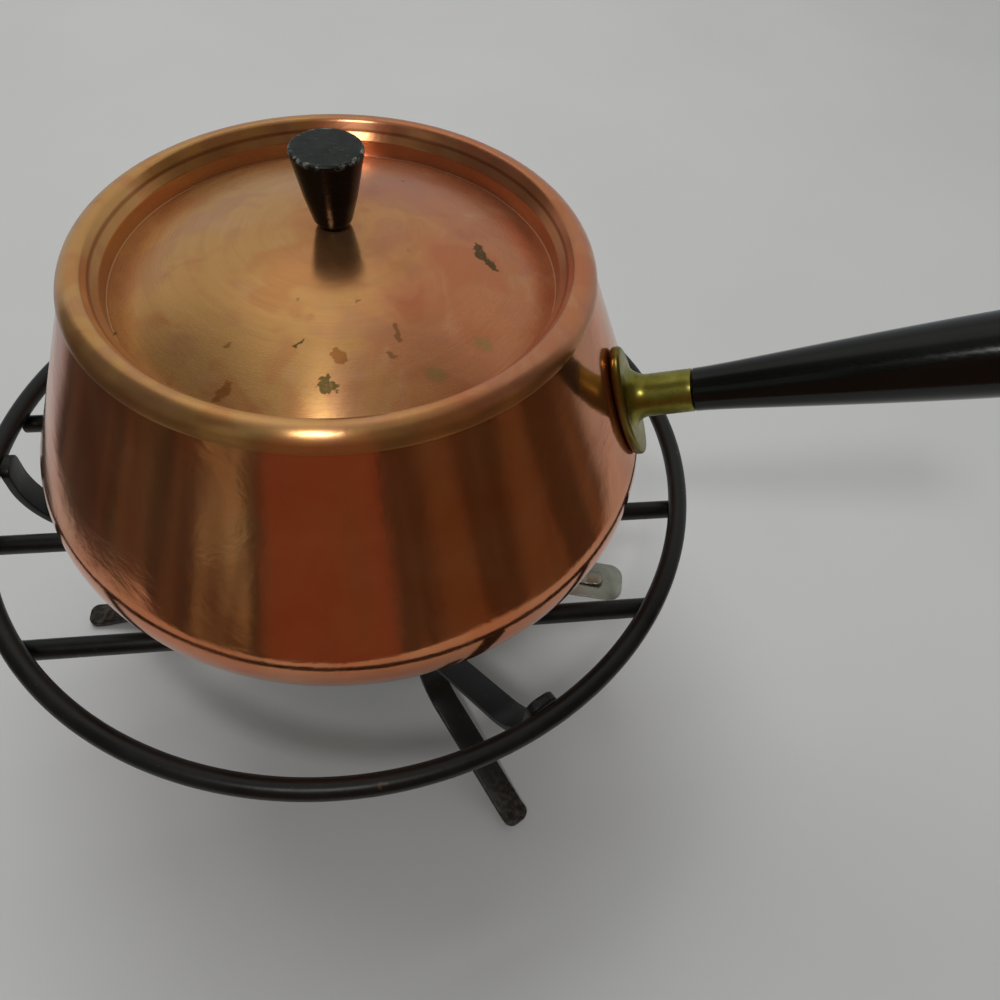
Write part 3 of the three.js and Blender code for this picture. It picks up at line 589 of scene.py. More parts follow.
def copper_lid():
    s = Shader(
        "copper_lid", Metallic=0.87, Specular_IOR_Level=0.3, Anisotropic=0.8, Anisotropic_Rotation=0.25,
    )
    radius, east, north, height = s.round_axis(POT_AXIS)
    place = s.place(POT_AXIS)
    along = s.math("SUBTRACT", height, radius)
    rings = s.noise(s.stretched((east, north, along), (2.0, 2.0, 2.2)), 1.0, 8.0, 0.75)
    broad = s.noise(s.stretched((east, north, along), (0.8, 0.8, 0.25)), 1.0, 4.0)
    clouds = s.noise(place, 0.028, 5.0, 0.6, 0.6)
    tone = lid_metal(s, place, clouds)
    tone = s.mix(s.spread(rings, 0.4, 0.8, 0.0, 0.2), tone, srgb(168, 106, 62))
    tone = s.mix(s.spread(broad, 0.5, 0.75, 0.0, 0.25), tone, srgb(184, 132, 76))
    tone = lid_tarnish_and_painted_shade(s, tone, radius, height, clouds, broad)
    tone, dark = lid_marks(s, tone, place)
    outer = s.spread(radius, LEDGE_RADIUS, LEDGE_RADIUS - 1.4, 0.20, 0.24)
    satin = s.math("MINIMUM", outer, s.spread(radius, 15.0, 48.0, 0.13, 0.24))
    rough = s.math("ADD", satin, s.spread(rings, 0.3, 0.8, 0.0, 0.08))
    return s.set(
        Base_Color=tone,
        Roughness=s.math("ADD", rough, s.times(dark, 0.15)),
        Normal=s.bump(rings, 0.02, 0.5, s.bump(clouds, 0.5, 0.3)),
        Tangent=s.node("Tangent", direction_type="RADIAL", axis="Z").outputs[0],
    )


def brass(centre, axis):
    """Dulled brass with turning lines across an axis, darker at its foot."""
    s = Shader("brass", Metallic=1.0)
    place = s.place(centre)
    along = s.vector("DOT_PRODUCT", place, axis)
    lines = s.noise(s.join(s.times(along, 3.2), 0.0, s.noise(place, 0.15, 2.0)), 1.0, 5.0, 0.7)
    clouds = s.noise(place, 0.12, 5.0, 0.6)
    fine = s.noise(place, 0.9, 4.0, 0.6)
    tone = s.mix(s.spread(clouds, 0.35, 0.68), srgb(158, 152, 74), srgb(126, 118, 44))
    tone = s.mix(s.spread(fine, 0.55, 0.75, 0.0, 0.5), tone, srgb(98, 82, 40))
    tone = s.mix(s.spread(along, 4.2, 1.2, 0.0, 0.72), tone, srgb(120, 88, 52))
    return s.set(
        Base_Color=tone,
        Roughness=s.spread(clouds, 0.3, 0.7, 0.26, 0.38),
        Normal=s.bump(lines, 0.015, 0.45, s.bump(fine, 0.03, 0.3)),
    )


def black_paint():
    """Satin paint with dust, chips, and feet rubbed to a brown."""
    s = Shader("black_paint", Specular_IOR_Level=0.36)
    place = s.place()
    _, _, height = s.split(place)
    peel = s.noise(place, 0.55, 3.0, 0.5)
    clouds = s.noise(place, 0.06, 4.0)
    dust = s.noise(place, 2.4, 3.0)
    rubbed = s.times(s.spread(height, 9.0, 0.5), s.spread(s.noise(place, 0.5, 4.0), 0.42, 0.6))
    chips = s.noise(s.vector("ADD", place, (7.0, 0.0, 3.0)), 0.22, 5.0, 0.65)
    tone = s.mix(s.spread(clouds, 0.35, 0.7), srgb(12, 12, 11), srgb(22, 22, 20))
    tone = s.mix(s.spread(dust, 0.62, 0.8, 0.0, 0.22), tone, srgb(84, 80, 72))
    tone = s.mix(s.times(rubbed, 0.6), tone, srgb(92, 76, 62))
    tone = s.mix(s.times(s.spread(chips, 0.66, 0.7), 0.7), tone, srgb(82, 58, 46))
    return s.set(
        Base_Color=tone,
        Roughness=s.spread(clouds, 0.3, 0.7, 0.3, 0.46),
        Normal=s.bump(peel, 0.12, 0.35),
    )


def black_grip():
    s = Shader("black_gloss", Specular_IOR_Level=0.26, Coat_Weight=0.15, Coat_Roughness=0.08)
    place = s.place()
    clouds = s.noise(place, 0.05, 4.0)
    hairs = s.noise(s.vector("MULTIPLY", place, (0.06, 1.6, 1.6)), 1.0, 4.0, 0.6)
    nicks = s.specks(place, 0.12, 0.02, 0.05)
    tone = s.mix(s.spread(clouds, 0.35, 0.7), srgb(7, 8, 7), srgb(14, 15, 13))
    tone = s.mix(s.times(nicks, 0.4), tone, srgb(70, 66, 58))
    return s.set(
        Base_Color=tone,
        Roughness=s.math("ADD", s.spread(hairs, 0.35, 0.75, 0.13, 0.24), s.times(nicks, 0.2)),
        Normal=s.bump(hairs, 0.01, 0.4, s.bump(clouds, 0.25, 0.2)),
    )


def black_knob(worn_above=230.58):
    """Resin that is rougher and scuffed above a height in the row frame, with a painted sheen of paler grey
    there, and worn pale along the rim.
    """
    s = Shader("black_worn", Specular_IOR_Level=0.22)
    place = s.place(POT_AXIS)
    radius, east, north, height = s.round_axis(POT_AXIS)
    upper = s.spread(height, worn_above - 0.8, worn_above - 0.2)
    rim = s.times(
        s.spread(radius, KNOB_RIM[0] - 1.6, KNOB_RIM[0] - 0.3, smooth=True),
        s.spread(height, worn_above - 1.6, worn_above - 0.2),
    )
    clouds = s.noise(place, 0.16, 5.0, 0.65)
    scuffs = s.noise(s.vector("MULTIPLY", place, (0.5, 1.6, 1.0)), 1.0, 6.0, 0.7)
    rings = s.noise(s.stretched((east, north, radius), (1.5, 1.5, 3.0)), 1.0, 4.0)
    tone = s.mix(s.spread(clouds, 0.35, 0.7), srgb(6, 6, 6), srgb(12, 12, 11))
    # Painted sheen: the knob's top is a paler grey than its sides, with real scuffs over it.
    top_sheen_and_scuffs = s.mix(s.spread(clouds, 0.35, 0.65), srgb(18, 22, 20), srgb(30, 35, 32))
    top_sheen_and_scuffs = s.mix(s.spread(scuffs, 0.55, 0.72, 0.0, 0.5), top_sheen_and_scuffs, srgb(78, 82, 77))
    tone = s.mix(upper, tone, top_sheen_and_scuffs)
    wear = s.times(rim, s.spread(s.noise(place, 0.5, 5.0, 0.7), 0.5, 0.62))
    tone = s.mix(s.times(wear, 0.75), tone, srgb(150, 148, 138))
    return s.set(
        Base_Color=tone,
        Roughness=s.math("ADD", s.spread(rings, 0.3, 0.7, 0.22, 0.30), s.times(upper, 0.16)),
        Normal=s.bump(scuffs, 0.03, 0.4, s.bump(rings, 0.015, 0.3)),
    )


def bright_steel(name, stretch, light, dark, rough=0.24):
    s = Shader(name, Metallic=1.0)
    place = s.place()
    brushed = s.noise(s.vector("MULTIPLY", place, stretch), 1.0, 6.0, 0.7)
    clouds = s.noise(place, 0.09, 5.0, 0.6)
    spots = s.specks(place, 0.25, 0.03, 0.09)
    tone = s.mix(s.spread(clouds, 0.35, 0.68), light, dark)
    tone = s.mix(s.times(spots, 0.3), tone, srgb(110, 98, 84))
    return s.set(
        Base_Color=tone,
        Roughness=s.spread(brushed, 0.3, 0.75, rough, rough + 0.14),
        Normal=s.bump(brushed, 0.02, 0.5, s.bump(clouds, 0.08, 0.3)),
    )


def woven_wire(pitch=1.3):
    s = Shader("wire_gauze", Metallic=1.0)
    x, y, _ = s.split(s.place())
    waves = [s.math("ABSOLUTE", s.math("SINE", s.times(part, TAU / pitch))) for part in (x, y)]
    weave = s.math("MAXIMUM", *waves)
    soot = s.noise(s.place(), 0.12, 4.0)
    # Painted shade: where the weave leaves gaps the colour is near black, as the shade seen through the
    # gauze.
    holes = s.spread(weave, 0.4, 0.6, 1.0, 0.0)
    wire = s.mix(s.spread(soot, 0.35, 0.65), srgb(176, 168, 152), srgb(112, 98, 84))
    return s.set(
        Base_Color=s.mix(holes, wire, srgb(18, 16, 14)),
        Roughness=s.spread(soot, 0.3, 0.7, 0.35, 0.6),
        Normal=s.bump(weave, 0.4, 0.8),
    )


def wool():
    s = Shader("wool", Roughness=0.95)
    tufts = s.noise(s.place(), 0.35, 6.0, 0.7, 1.2)
    return s.set(
        Base_Color=s.mix(s.spread(tufts, 0.3, 0.7), srgb(222, 216, 200), srgb(188, 180, 160)),
        Normal=s.bump(tufts, 1.2, 0.8),
    )


STEEL = bright_steel("plain_steel", (1.2, 1.2, 0.3), srgb(200, 200, 198), srgb(168, 166, 160))
PLATED = bright_steel("plated_sheet", (0.25, 1.8, 1.8), srgb(176, 178, 168), srgb(150, 152, 140))

# Stand

stand_piece = partial(piece, body="stand", slot="black_paint", material=black_paint())


def rod_ring(radius, height):
    section = arc((radius, height), (ROD, ROD), 0, TAU, steps=32)[:-1]
    return lathe(section, segments=320, closed=True)


def crossbar(offset):
    half = math.sqrt(BAR_REACH**2 - offset**2)
    profile = rounded([(0, -half, 0), (ROD, -half, BAR_EDGE), (ROD, half, BAR_EDGE), (0, half, 0)], steps=4)
    return lathe(profile, segments=48)


stand_piece("ring_rod", rod_ring(RING_RADIUS, RING_HEIGHT), AT_STAND, "stand_ring")
for i, offset in enumerate(BAR_OFFSETS, start=1):
    lay = Matrix.Translation((0, offset, BAR_HEIGHT)) @ Matrix.Rotation(QUARTER, 4, "Y")
    stand_piece(f"bar_{i}", crossbar(offset), turned_on_stand(BAR_TURN) @ lay, f"crossbar_{i}")

LEG_CORNERS = (
    (LEG_LINE_RADIUS, TAB_TOP), (LEG_LINE_RADIUS, TAB_CORNER), ARMS_CROSS,
    (FOOT_START, LEG_THICKNESS / 2), (FOOT_REACH, LEG_THICKNESS / 2),
)
leg_form = strap(LEG_CORNERS, LEG_BENDS, LEG_WIDTH, LEG_THICKNESS, LEG_CORNER, LEG_CORNER, LEG_EDGE)
for i in range(LEG_COUNT):
    turn = turned_on_stand(FIRST_LEG_TURN + 360 / LEG_COUNT * i)
    stand_piece(f"strap_leg_{i + 1}", leg_form, turn, f"leg_{i + 1}")

waist = bend(*LEG_CORNERS[1:4], LEG_BENDS[1])[3]
hoop_radius = waist.x - LEG_BENDS[1] - LEG_THICKNESS / 2 - GAP - ROD
stand_piece("hoop_rod", rod_ring(hoop_radius, waist.y), AT_STAND, "burner_hoop")

# Pot

turn_end = math.atan(math.tan(SHOULDER) * TURN_REACH[0] / TURN_REACH[1])
shoulder_radius = TURN_CENTRE[0] + TURN_REACH[0] * math.cos(turn_end)
shoulder_height = TURN_CENTRE[1] + TURN_REACH[1] * math.sin(turn_end)


def shoulder_height_at(radius):
    return shoulder_height + (shoulder_radius - radius) / math.tan(SHOULDER)


neck_start = shoulder_height_at(NECK_RADIUS)
rim_height = neck_start + NECK_HEIGHT


def pot_profile():
    lip = WALL / 2
    outer = [(0.0, 0.0)] + [(radius, 0.0) for radius in FLOOR_RINGS]
    outer += arc(TURN_CENTRE, TURN_REACH, -QUARTER, turn_end, steps=48)
    outer += [(r, shoulder_height_at(r)) for r in np.linspace(shoulder_radius, NECK_RADIUS, 41)[1:-1]]
    neck = [(*outer[-1], 0), (NECK_RADIUS, neck_start, NECK_FILLET), (NECK_RADIUS, rim_height - lip, 0)]
    outer += rounded(neck)[1:]
    inner = offset_left(outer, WALL)[::-1]
    inner[-1] = (0.0, WALL)
    rim = arc((NECK_RADIUS - lip, rim_height - lip), (lip, lip), 0, math.pi, steps=8)[1:-1]
    return outer + rim + inner


def line_with_tin(shell):
    """Tin on the wall's faces that look in and the floor's that look up, to just below the rim."""
    shell.data.materials.append(tin_lining())
    for face in shell.data.polygons:
        centre = face.center * METRE
        outwards = Vector((centre.x - pot_x, centre.y - pot_y))
        height = centre.z - POT_BASE
        on_wall = face.normal.xy.dot(outwards) < 0
        on_floor = face.normal.z > 0.9 and height < FLOOR_ZONE
        if (on_wall or on_floor) and WALL / 2 < height < rim_height - WALL:
            face.material_index = 1


line_with_tin(piece(
    "copper_pot", lathe(pot_profile(), segments=320), AT_POT, "pot_shell",
    body="pot", slot="copper", material=copper_pot(),
))

# Handle

foot_radius = shoulder_radius - (HANDLE_HEIGHT - shoulder_height) * math.tan(SHOULDER)
handle_foot = Vector((foot_radius, 0, HANDLE_HEIGHT))
AT_HANDLE = AT_POT @ Matrix.Translation(handle_foot) @ Matrix.Rotation(QUARTER - SHOULDER, 4, "Y")
handle_axis = (AT_HANDLE.to_3x3() @ Vector((0, 0, 1))).normalized()
brass_piece = partial(
    piece, body="pot", slot="brass", material=brass(tuple(AT_HANDLE.translation), tuple(handle_axis)),
)


def shoulder_fall(x, y):
    """How far the shoulder lies below its tangent plane at the handle's foot."""
    slope = math.tan(SHOULDER)
    reach = (handle_foot.x + x * math.sin(SHOULDER)) / math.cos(SHOULDER)
    return (-reach + math.sqrt(reach**2 - (1 - slope**2) * y**2)) / (1 - slope**2)


def ferrule_section(length, width, drop, height, bend_share, count=128):
    """Oval across the handle's axis, bent to the shoulder by a share."""
    section = []
    for j in range(count):
        a = TAU * j / count
        x, y = drop + length * math.cos(a), width * math.sin(a)
        section.append((x, y, height + bend_share * shoulder_fall(x, y)))
    return section


def flange_section(inset, height):
    return ferrule_section(FLANGE_LENGTH - inset, FLANGE_WIDTH - inset, FLANGE_DROP, height, 1)


def round_section(radius, height):
    return ferrule_section(radius, radius, 0, height, 0)


def ferrule():
    """Oval flange on the shoulder that runs through a fillet into a round socket."""
    front = GAP + FLANGE_THICKNESS
    sections = [
        ferrule_section(FLANGE_LENGTH * share, FLANGE_WIDTH * share, FLANGE_DROP, GAP, 1)
        for share in (0.3, 0.6)
    ]
    for a in np.linspace(0, QUARTER, 6):
        rise = FLANGE_EDGE * (1 - math.cos(a))
        sections.append(flange_section(FLANGE_EDGE * (1 - math.sin(a)), GAP + rise))
    for a in np.linspace(0, QUARTER, 6):
        inset = FLANGE_EDGE * (1 - math.cos(a))
        sections.append(flange_section(inset, front - FLANGE_EDGE * (1 - math.sin(a))))
    for share in np.linspace(0, 1, 7)[1:-1]:
        length = (FLANGE_LENGTH - FLANGE_EDGE) * (1 - share) + (FERRULE_RADIUS + FILLET_LENGTH) * share
        width = (FLANGE_WIDTH - FLANGE_EDGE) * (1 - share) + (FERRULE_RADIUS + FILLET_WIDTH) * share
        sections.append(ferrule_section(length, width, FLANGE_DROP * (1 - share), front, 1))
    for a in np.linspace(0, QUARTER, 24):
        flare = 1 - math.sin(a)
        length, width = FERRULE_RADIUS + FILLET_LENGTH * flare, FERRULE_RADIUS + FILLET_WIDTH * flare
        height = front + FILLET_HEIGHT * (1 - math.cos(a))
        sections.append(ferrule_section(length, width, 0, height, math.cos(a)))
    sections += [round_section(FERRULE_RADIUS, height) for height in FERRULE_RINGS]
    for a in np.linspace(0, QUARTER, 4):
        inset = FERRULE_EDGE * (1 - math.cos(a))
        height = FERRULE_LENGTH - FERRULE_EDGE * (1 - math.sin(a))
        sections.append(round_section(FERRULE_RADIUS - inset, height))
    sections.append(round_section(SOCKET_RADIUS, FERRULE_LENGTH))
    sections.append(round_section(SOCKET_RADIUS, FERRULE_LENGTH - SOCKET_DEPTH))
    return loft(sections)


brass_piece("brass_ferrule", ferrule(), AT_HANDLE, "handle_ferrule")
for i, side in enumerate((-1, 1), start=1):
    x = FLANGE_DROP + side * BRASS_RIVET_REACH
    head_top = shoulder_fall(x, BRASS_RIVET_HEAD[0]) - WALL - GAP
    rivet = arc((0, head_top), BRASS_RIVET_HEAD, -QUARTER, 0, steps=10)
    rivet += [(BRASS_RIVET_SHANK, head_top), (BRASS_RIVET_SHANK, GAP), (0, GAP)]
    rivet_place = AT_HANDLE @ Matrix.Translation((x, 0, 0))
    brass_piece(f"brass_rivet_{i}", lathe(rivet, segments=48), rivet_place, f"ferrule_rivet_{i}")


def grip_profile():
    """Bore, a softened edge at the ferrule, a long swell and a round butt."""
    slim = ((FERRULE_RADIUS, 0), (FERRULE_RADIUS, GRIP_SLIM))
    full = ((GRIP_RADIUS, GRIP_FULL), (GRIP_RADIUS, GRIP_WIDEST))
    swell = bezier(slim + full, steps=64)
    start = rounded([(SOCKET_RADIUS, 0, 0), (FERRULE_RADIUS, 0, GRIP_EDGE), (*swell[1], 0)])
    butt = arc((0, GRIP_LENGTH - GRIP_BUTT), (GRIP_RADIUS, GRIP_BUTT), 0, QUARTER, steps=20)
    bore = [(0, GRIP_BORE), (SOCKET_RADIUS, GRIP_BORE)]
    return bore + start[:-1] + swell[1:] + butt[:-1] + [(0, GRIP_LENGTH)]


piece(
    "turned_grip", lathe(grip_profile(), segments=128),
    AT_HANDLE @ Matrix.Translation((0, 0, FERRULE_LENGTH + GAP)), "handle_grip",
    body="pot", slot="black_grip", material=black_grip(),
)

# Lid

seat_radius = EDGE_RADIUS - LID_SHEET - GAP / math.cos(SHOULDER)
edge_height = shoulder_height_at(seat_radius) + LID_SHEET * math.sin(ROLL_START)
roll_radius = EDGE_RADIUS - ROLL_REACH[0] * math.cos(ROLL_START)
roll_height = edge_height - ROLL_REACH[1] * math.sin(ROLL_START)
crown_height = roll_height + ROLL_REACH[1]
panel_top = crown_height + PANEL_TOP
panel_rise = FOOT_DEPTH + PANEL_TOP
sphere = (FOOT_RADIUS**2 + panel_rise**2) / (2 * panel_rise)


def panel_height(radius):
    return panel_top - sphere + math.sqrt(sphere**2 - radius**2)


def lid_profile():
    """Rolled edge, crown, crease, ledge, upright wall and domed panel, then the same sheet's underside."""
    face = arc((roll_radius, roll_height), ROLL_REACH, ROLL_START, QUARTER, steps=28)
    crown = (roll_radius, crown_height - CROWN_ROUND)
    face += arc(crown, (CROWN_ROUND, CROWN_ROUND), QUARTER, CROWN_END, steps=12)[1:]
    panel_start = FOOT_RADIUS - 6
    well = rounded([
        (*face[-1], 0),
        (CREASE_RADIUS, crown_height - CREASE_DEPTH, CREASE_FILLET),
        (LEDGE_RADIUS, crown_height - LEDGE_DEPTH, LEDGE_FILLET),
        (FOOT_RADIUS, crown_height - FOOT_DEPTH, FOOT_FILLET),
        (panel_start, panel_height(panel_start), 0),
    ])
    face += well[1:-1]
    face += [(r, panel_height(r)) for r in np.linspace(FOOT_RADIUS - 3, HOLE_RADIUS, 60)]
    return face + offset_left(face, LID_SHEET)[::-1]


def knob_profile():
    hollow = [(0, KNOB_BORE), (HOLE_RADIUS, KNOB_BORE)]
    corners = [(HOLE_RADIUS, 0, 0), KNOB_FOOT, KNOB_WAIST, KNOB_RIM, KNOB_FACE, (0, KNOB_FACE[1], 0)]
    return hollow + rounded(corners, steps=8)


piece(
    "copper_lid", lathe(lid_profile(), segments=320, closed=True), AT_POT, "lid_cover",
    body="lid", slot="copper", material=copper_lid(),
)
piece(
    "turned_knob", lathe(knob_profile(), segments=128),
    AT_POT @ Matrix.Translation((0, 0, panel_top + GAP)), "knob",
    body="lid", slot="black_grip", material=black_knob(),
)

washer_top = panel_height(WASHER_RADIUS) - LID_SHEET - GAP
washer_bottom = washer_top - WASHER_THICKNESS
washer = rounded([
    (HOLE_RADIUS, washer_bottom, 0.2), (WASHER_RADIUS, washer_bottom, 0.3),
    (WASHER_RADIUS, washer_top, 0.3), (HOLE_RADIUS, washer_top, 0.2),
], closed=True, steps=3)
screw = arc((0, washer_bottom - GAP), SCREW_HEAD, -QUARTER, 0, steps=12)
screw += [
    (SCREW_RADIUS, washer_bottom - GAP), (SCREW_RADIUS, panel_top + KNOB_BORE), (0, panel_top + KNOB_BORE),
]
screw_piece = partial(piece, body="lid", slot="steel", material=STEEL)
screw_piece("steel_washer", lathe(washer, segments=64, closed=True), AT_POT, "knob_washer")
screw_piece("round_head_screw", lathe(screw, segments=64), AT_POT, "knob_screw")

# Burner

AT_BURNER = turned_on_stand(BURNER_TURN)
burner_piece = partial(piece, body="burner", slot="burner_sheet", material=PLATED)
turning_piece = partial(piece, body="regulator", slot="burner_sheet", material=PLATED)

rivet_reach = CUP_RIVET_OFFSET + CUP_RIVET_HEAD
rivet_inside = math.sqrt((COLLAR_RADIUS - CUP_WALL) ** 2 - rivet_reach**2) - GAP
cover_radius = rivet_inside - CUP_RIVET_CAP - GAP
plate_bottom = COVER_TOP + GAP
plate_top = plate_bottom + REGULATOR_SHEET


def vent_cutters(bottom, top):
    """Rods through a sheet between two heights, one for each vent."""
    verts, faces = [], []
    low, high = bottom - VENT_SPARE, top + VENT_SPARE
    rod_verts, rod_faces = lathe([(0, low), (VENT_RADIUS, low), (VENT_RADIUS, high), (0, high)], segments=32)
    for i in range(VENT_COUNT):
        angle = TAU * (i + 0.5) / VENT_COUNT
        shift = Matrix.Translation((VENT_CIRCLE * math.cos(angle), VENT_CIRCLE * math.sin(angle), 0))
        base = len(verts)
        verts += [AT_BURNER @ shift @ Vector(v) / METRE for v in rod_verts]
        faces += [tuple(base + k for k in face) for face in rod_faces]
    return verts, faces


def cut_vents(obj, bottom, top):
    tool = mesh_object("cutters", *vent_cutters(bottom, top))
    modifier = obj.modifiers.new("holes", "BOOLEAN")
    modifier.operation = "DIFFERENCE"
    modifier.solver = "EXACT"
    modifier.object = tool
    bpy.context.view_layer.update()
    graph = bpy.context.evaluated_depsgraph_get()
    cut = bpy.data.meshes.new_from_object(obj.evaluated_get(graph))
    obj.modifiers.clear()
    obj.data = cut
    bpy.data.objects.remove(tool)
    shade(cut, 30)


def cup_profile():
    face = rounded([
        (0, CUP_FLOOR, 0), (CUP_RADIUS, CUP_FLOOR, CUP_ROUND), (CUP_RADIUS, STEP_HEIGHT, 0.8),
        (COLLAR_RADIUS, STEP_HEIGHT, 1.2), (COLLAR_RADIUS, RIM_HEIGHT, 0),
    ])
    inner = offset_left(face, CUP_WALL)[::-1]
    inner[-1] = (0, CUP_FLOOR + CUP_WALL)
    return face + inner


def cover_profile():
    """Cover with a collar round the flame's hole, whose lip holds the regulator down."""
    lip = plate_top + GAP
    face = rounded([
        (cover_radius, STEP_HEIGHT + CUP_WALL + GAP, 0), (cover_radius, COVER_TOP, COVER_ROUND),
        (FLAME_HOLE, COVER_TOP, 0), (FLAME_HOLE, lip, 0), (FLAME_LIP, lip, 0),
    ])
    return face + offset_left(face, COVER_SHEET)[::-1]


def plate_profile():
    return rounded([
        (REGULATOR_HOLE, plate_bottom, 0.1), (REGULATOR_RADIUS, plate_bottom, 0.25),
        (REGULATOR_RADIUS, plate_top, 0.25), (REGULATOR_HOLE, plate_top, 0.1),
    ], closed=True, steps=3)


def lever():
    level = (plate_bottom + plate_top) / 2
    return strap(
        ((LEVER_START, level), (LEVER_BEND, level), (LEVER_END, level + LEVER_RISE)), bends=(3.2,),
        width=LEVER_WIDTH, thickness=REGULATOR_SHEET, start_corner=0.4, end_corner=2.4, edge=0.15,
    )


def handle_strip():
    half = STRIP_SHEET / 2
    tab, level = COLLAR_RADIUS + GAP + half, RIM_HEIGHT - half
    return strap(
        ((tab, level - STRIP_DROP), (tab, level), (STRIP_REACH, level)), bends=(2.5,),
        width=STRIP_WIDTH, thickness=STRIP_SHEET, start_corner=0.6, end_corner=6, edge=0.3,
    )


def cup_rivet():
    """Rivet along the axis through collar and strip, its zero at the collar's outer face."""
    inside, outside = rivet_inside - COLLAR_RADIUS, GAP * 2 + STRIP_SHEET
    return lathe(rounded([
        (0, inside - CUP_RIVET_CAP, 0), (CUP_RIVET_HEAD, inside - CUP_RIVET_CAP, 0.5),
        (CUP_RIVET_HEAD, inside, 0.1), (CUP_RIVET_SHANK, inside, 0), (CUP_RIVET_SHANK, outside, 0),
        (CUP_RIVET_HEAD, outside, 0.1), (CUP_RIVET_HEAD, outside + CUP_RIVET_CAP, 0.6),
        (0, outside + CUP_RIVET_CAP, 0),
    ], steps=4), segments=48)


def gauze():
    bottom = STEP_HEIGHT - GAUZE_DEPTH + GAP
    top = bottom + GAUZE_SHEET
    corners = [(0, bottom, 0), (GAUZE_RADIUS, bottom, 0.2), (GAUZE_RADIUS, top, 0.2), (0, top, 0)]
    return lathe(rounded(corners, steps=3), segments=128)


burner_piece("cup_sheet", lathe(cup_profile(), segments=192), AT_BURNER, "burner_cup")
cover_form = lathe(cover_profile(), segments=160, closed=True)
cover = burner_piece("cover_sheet", cover_form, AT_BURNER, "burner_cover")
cut_vents(cover, COVER_TOP - COVER_SHEET, COVER_TOP)
plate_form = lathe(plate_profile(), segments=160, closed=True)
plate = turning_piece("regulator_sheet", plate_form, AT_BURNER, "regulator")
cut_vents(plate, plate_bottom, plate_top)
turning_piece("regulator_lever", lever(), AT_BURNER, "regulator")
burner_piece("burner_strip", handle_strip(), AT_BURNER, "burner_handle")
for i, side in enumerate((-1, 1), start=1):
    spot = Matrix.Translation((COLLAR_RADIUS, side * CUP_RIVET_OFFSET, RIM_HEIGHT - CUP_RIVET_DROP))
    lay = AT_BURNER @ spot @ Matrix.Rotation(QUARTER, 4, "Y")
    piece(
        f"cup_rivet_{i}", cup_rivet(), lay, f"burner_rivet_{i}", body="burner", slot="steel", material=STEEL,
    )
piece("wire_disc", gauze(), AT_BURNER, "gauze_disc", body="burner", slot="steel", material=woven_wire())

for name, material in (("fuel_wool", wool()), ("handle_stud", STEEL)):
    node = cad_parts[name]
    node.data.materials.clear()
    node.data.materials.append(material)

# Floor, in metres. Metal mirrors the table and not the floor round it

TABLE = [(-0.38, -0.30), (0.30, -0.30), (0.30, 2.0), (-0.38, 2.0)]
ROOM_FLOOR = [(-4.0, -4.0), (4.0, -4.0), (4.0, 4.0), (-4.0, 4.0)]


def floor_part(name, verts, faces, seen_in_metal):
    obj = mesh_object(name, [(x, y, 0) for x, y in verts], faces)
    s = Shader(name, Roughness=0.9, Specular_IOR_Level=0.1)
    clouds = s.noise(s.place(), 0.004, 3.0)
    tone = s.mix(s.spread(clouds, 0.3, 0.7), srgb(205, 206, 205), srgb(200, 201, 200))
    obj.data.materials.append(s.set(Base_Color=tone))
    obj.visible_glossy = seen_in_metal


around_table = [(i, 4 + i, 4 + (i + 1) % 4, (i + 1) % 4) for i in range(4)]
floor_part("table", TABLE, [(0, 1, 2, 3)], seen_in_metal=True)
floor_part("floor_round_table", TABLE + ROOM_FLOOR, around_table, seen_in_metal=False)

# Room


def front_room(w, dx, dy, dz):
    """Dark front of the room, with columns, folds and three tinted panels, and the bearing in it."""
    flat = w.math("MAXIMUM", w.vector("LENGTH", w.join(dx, dy, 0.0)), 0.05)
    around = w.join(w.math("DIVIDE", dx, flat), w.math("DIVIDE", dy, flat), w.times(dz, 0.25))
    # degrees from the middle of the camera's side, growing towards the handle
    bearing = w.times(w.math("ARCTAN2", dx, w.times(dy, -1.0)), 180 / math.pi)

    def panel(low, high, soft):
        """Share of an upright panel between two bearings."""
        rise = w.spread(bearing, low - soft, low + soft, smooth=True)
        fall = w.spread(bearing, high - soft, high + soft, 1.0, 0.0, smooth=True)
        return w.times(rise, fall)

    columns = w.noise(w.vector("ADD", w.scaled(around, 4.6), (5.0, 2.0, 0.0)), 1.0, 2.0, 0.6)
    folds = w.noise(w.vector("ADD", w.scaled(around, 13.0), (1.0, 7.0, 0.0)), 1.0, 2.0, 0.5)
    patches = w.vector("MULTIPLY", w.join(dx, dy, dz), (9.0, 9.0, 16.0))
    patches = w.noise(w.vector("ADD", patches, (3.0, 1.0, 2.0)), 1.0, 4.0, 0.6)
    dark = w.mix(w.spread(columns, 0.47, 0.53), (0.038, 0.036, 0.034), (0.075, 0.066, 0.055))
    warm = w.mix(w.spread(columns, 0.46, 0.54), (0.050, 0.032, 0.016), (0.120, 0.080, 0.040))
    dark = w.mix(w.times(panel(30, 180, 2), 0.8), dark, warm)
    dark = w.mix(w.times(panel(-14, 28, 2.5), 0.85), dark, (0.185, 0.078, 0.045))
    green = w.times(panel(-36, -18, 2), w.spread(patches, 0.4, 0.56))
    dark = w.mix(green, dark, (0.26, 0.31, 0.25))
    return w.mix(w.spread(folds, 0.58, 0.66, 0.0, 0.4), dark, (0.12, 0.10, 0.075)), bearing


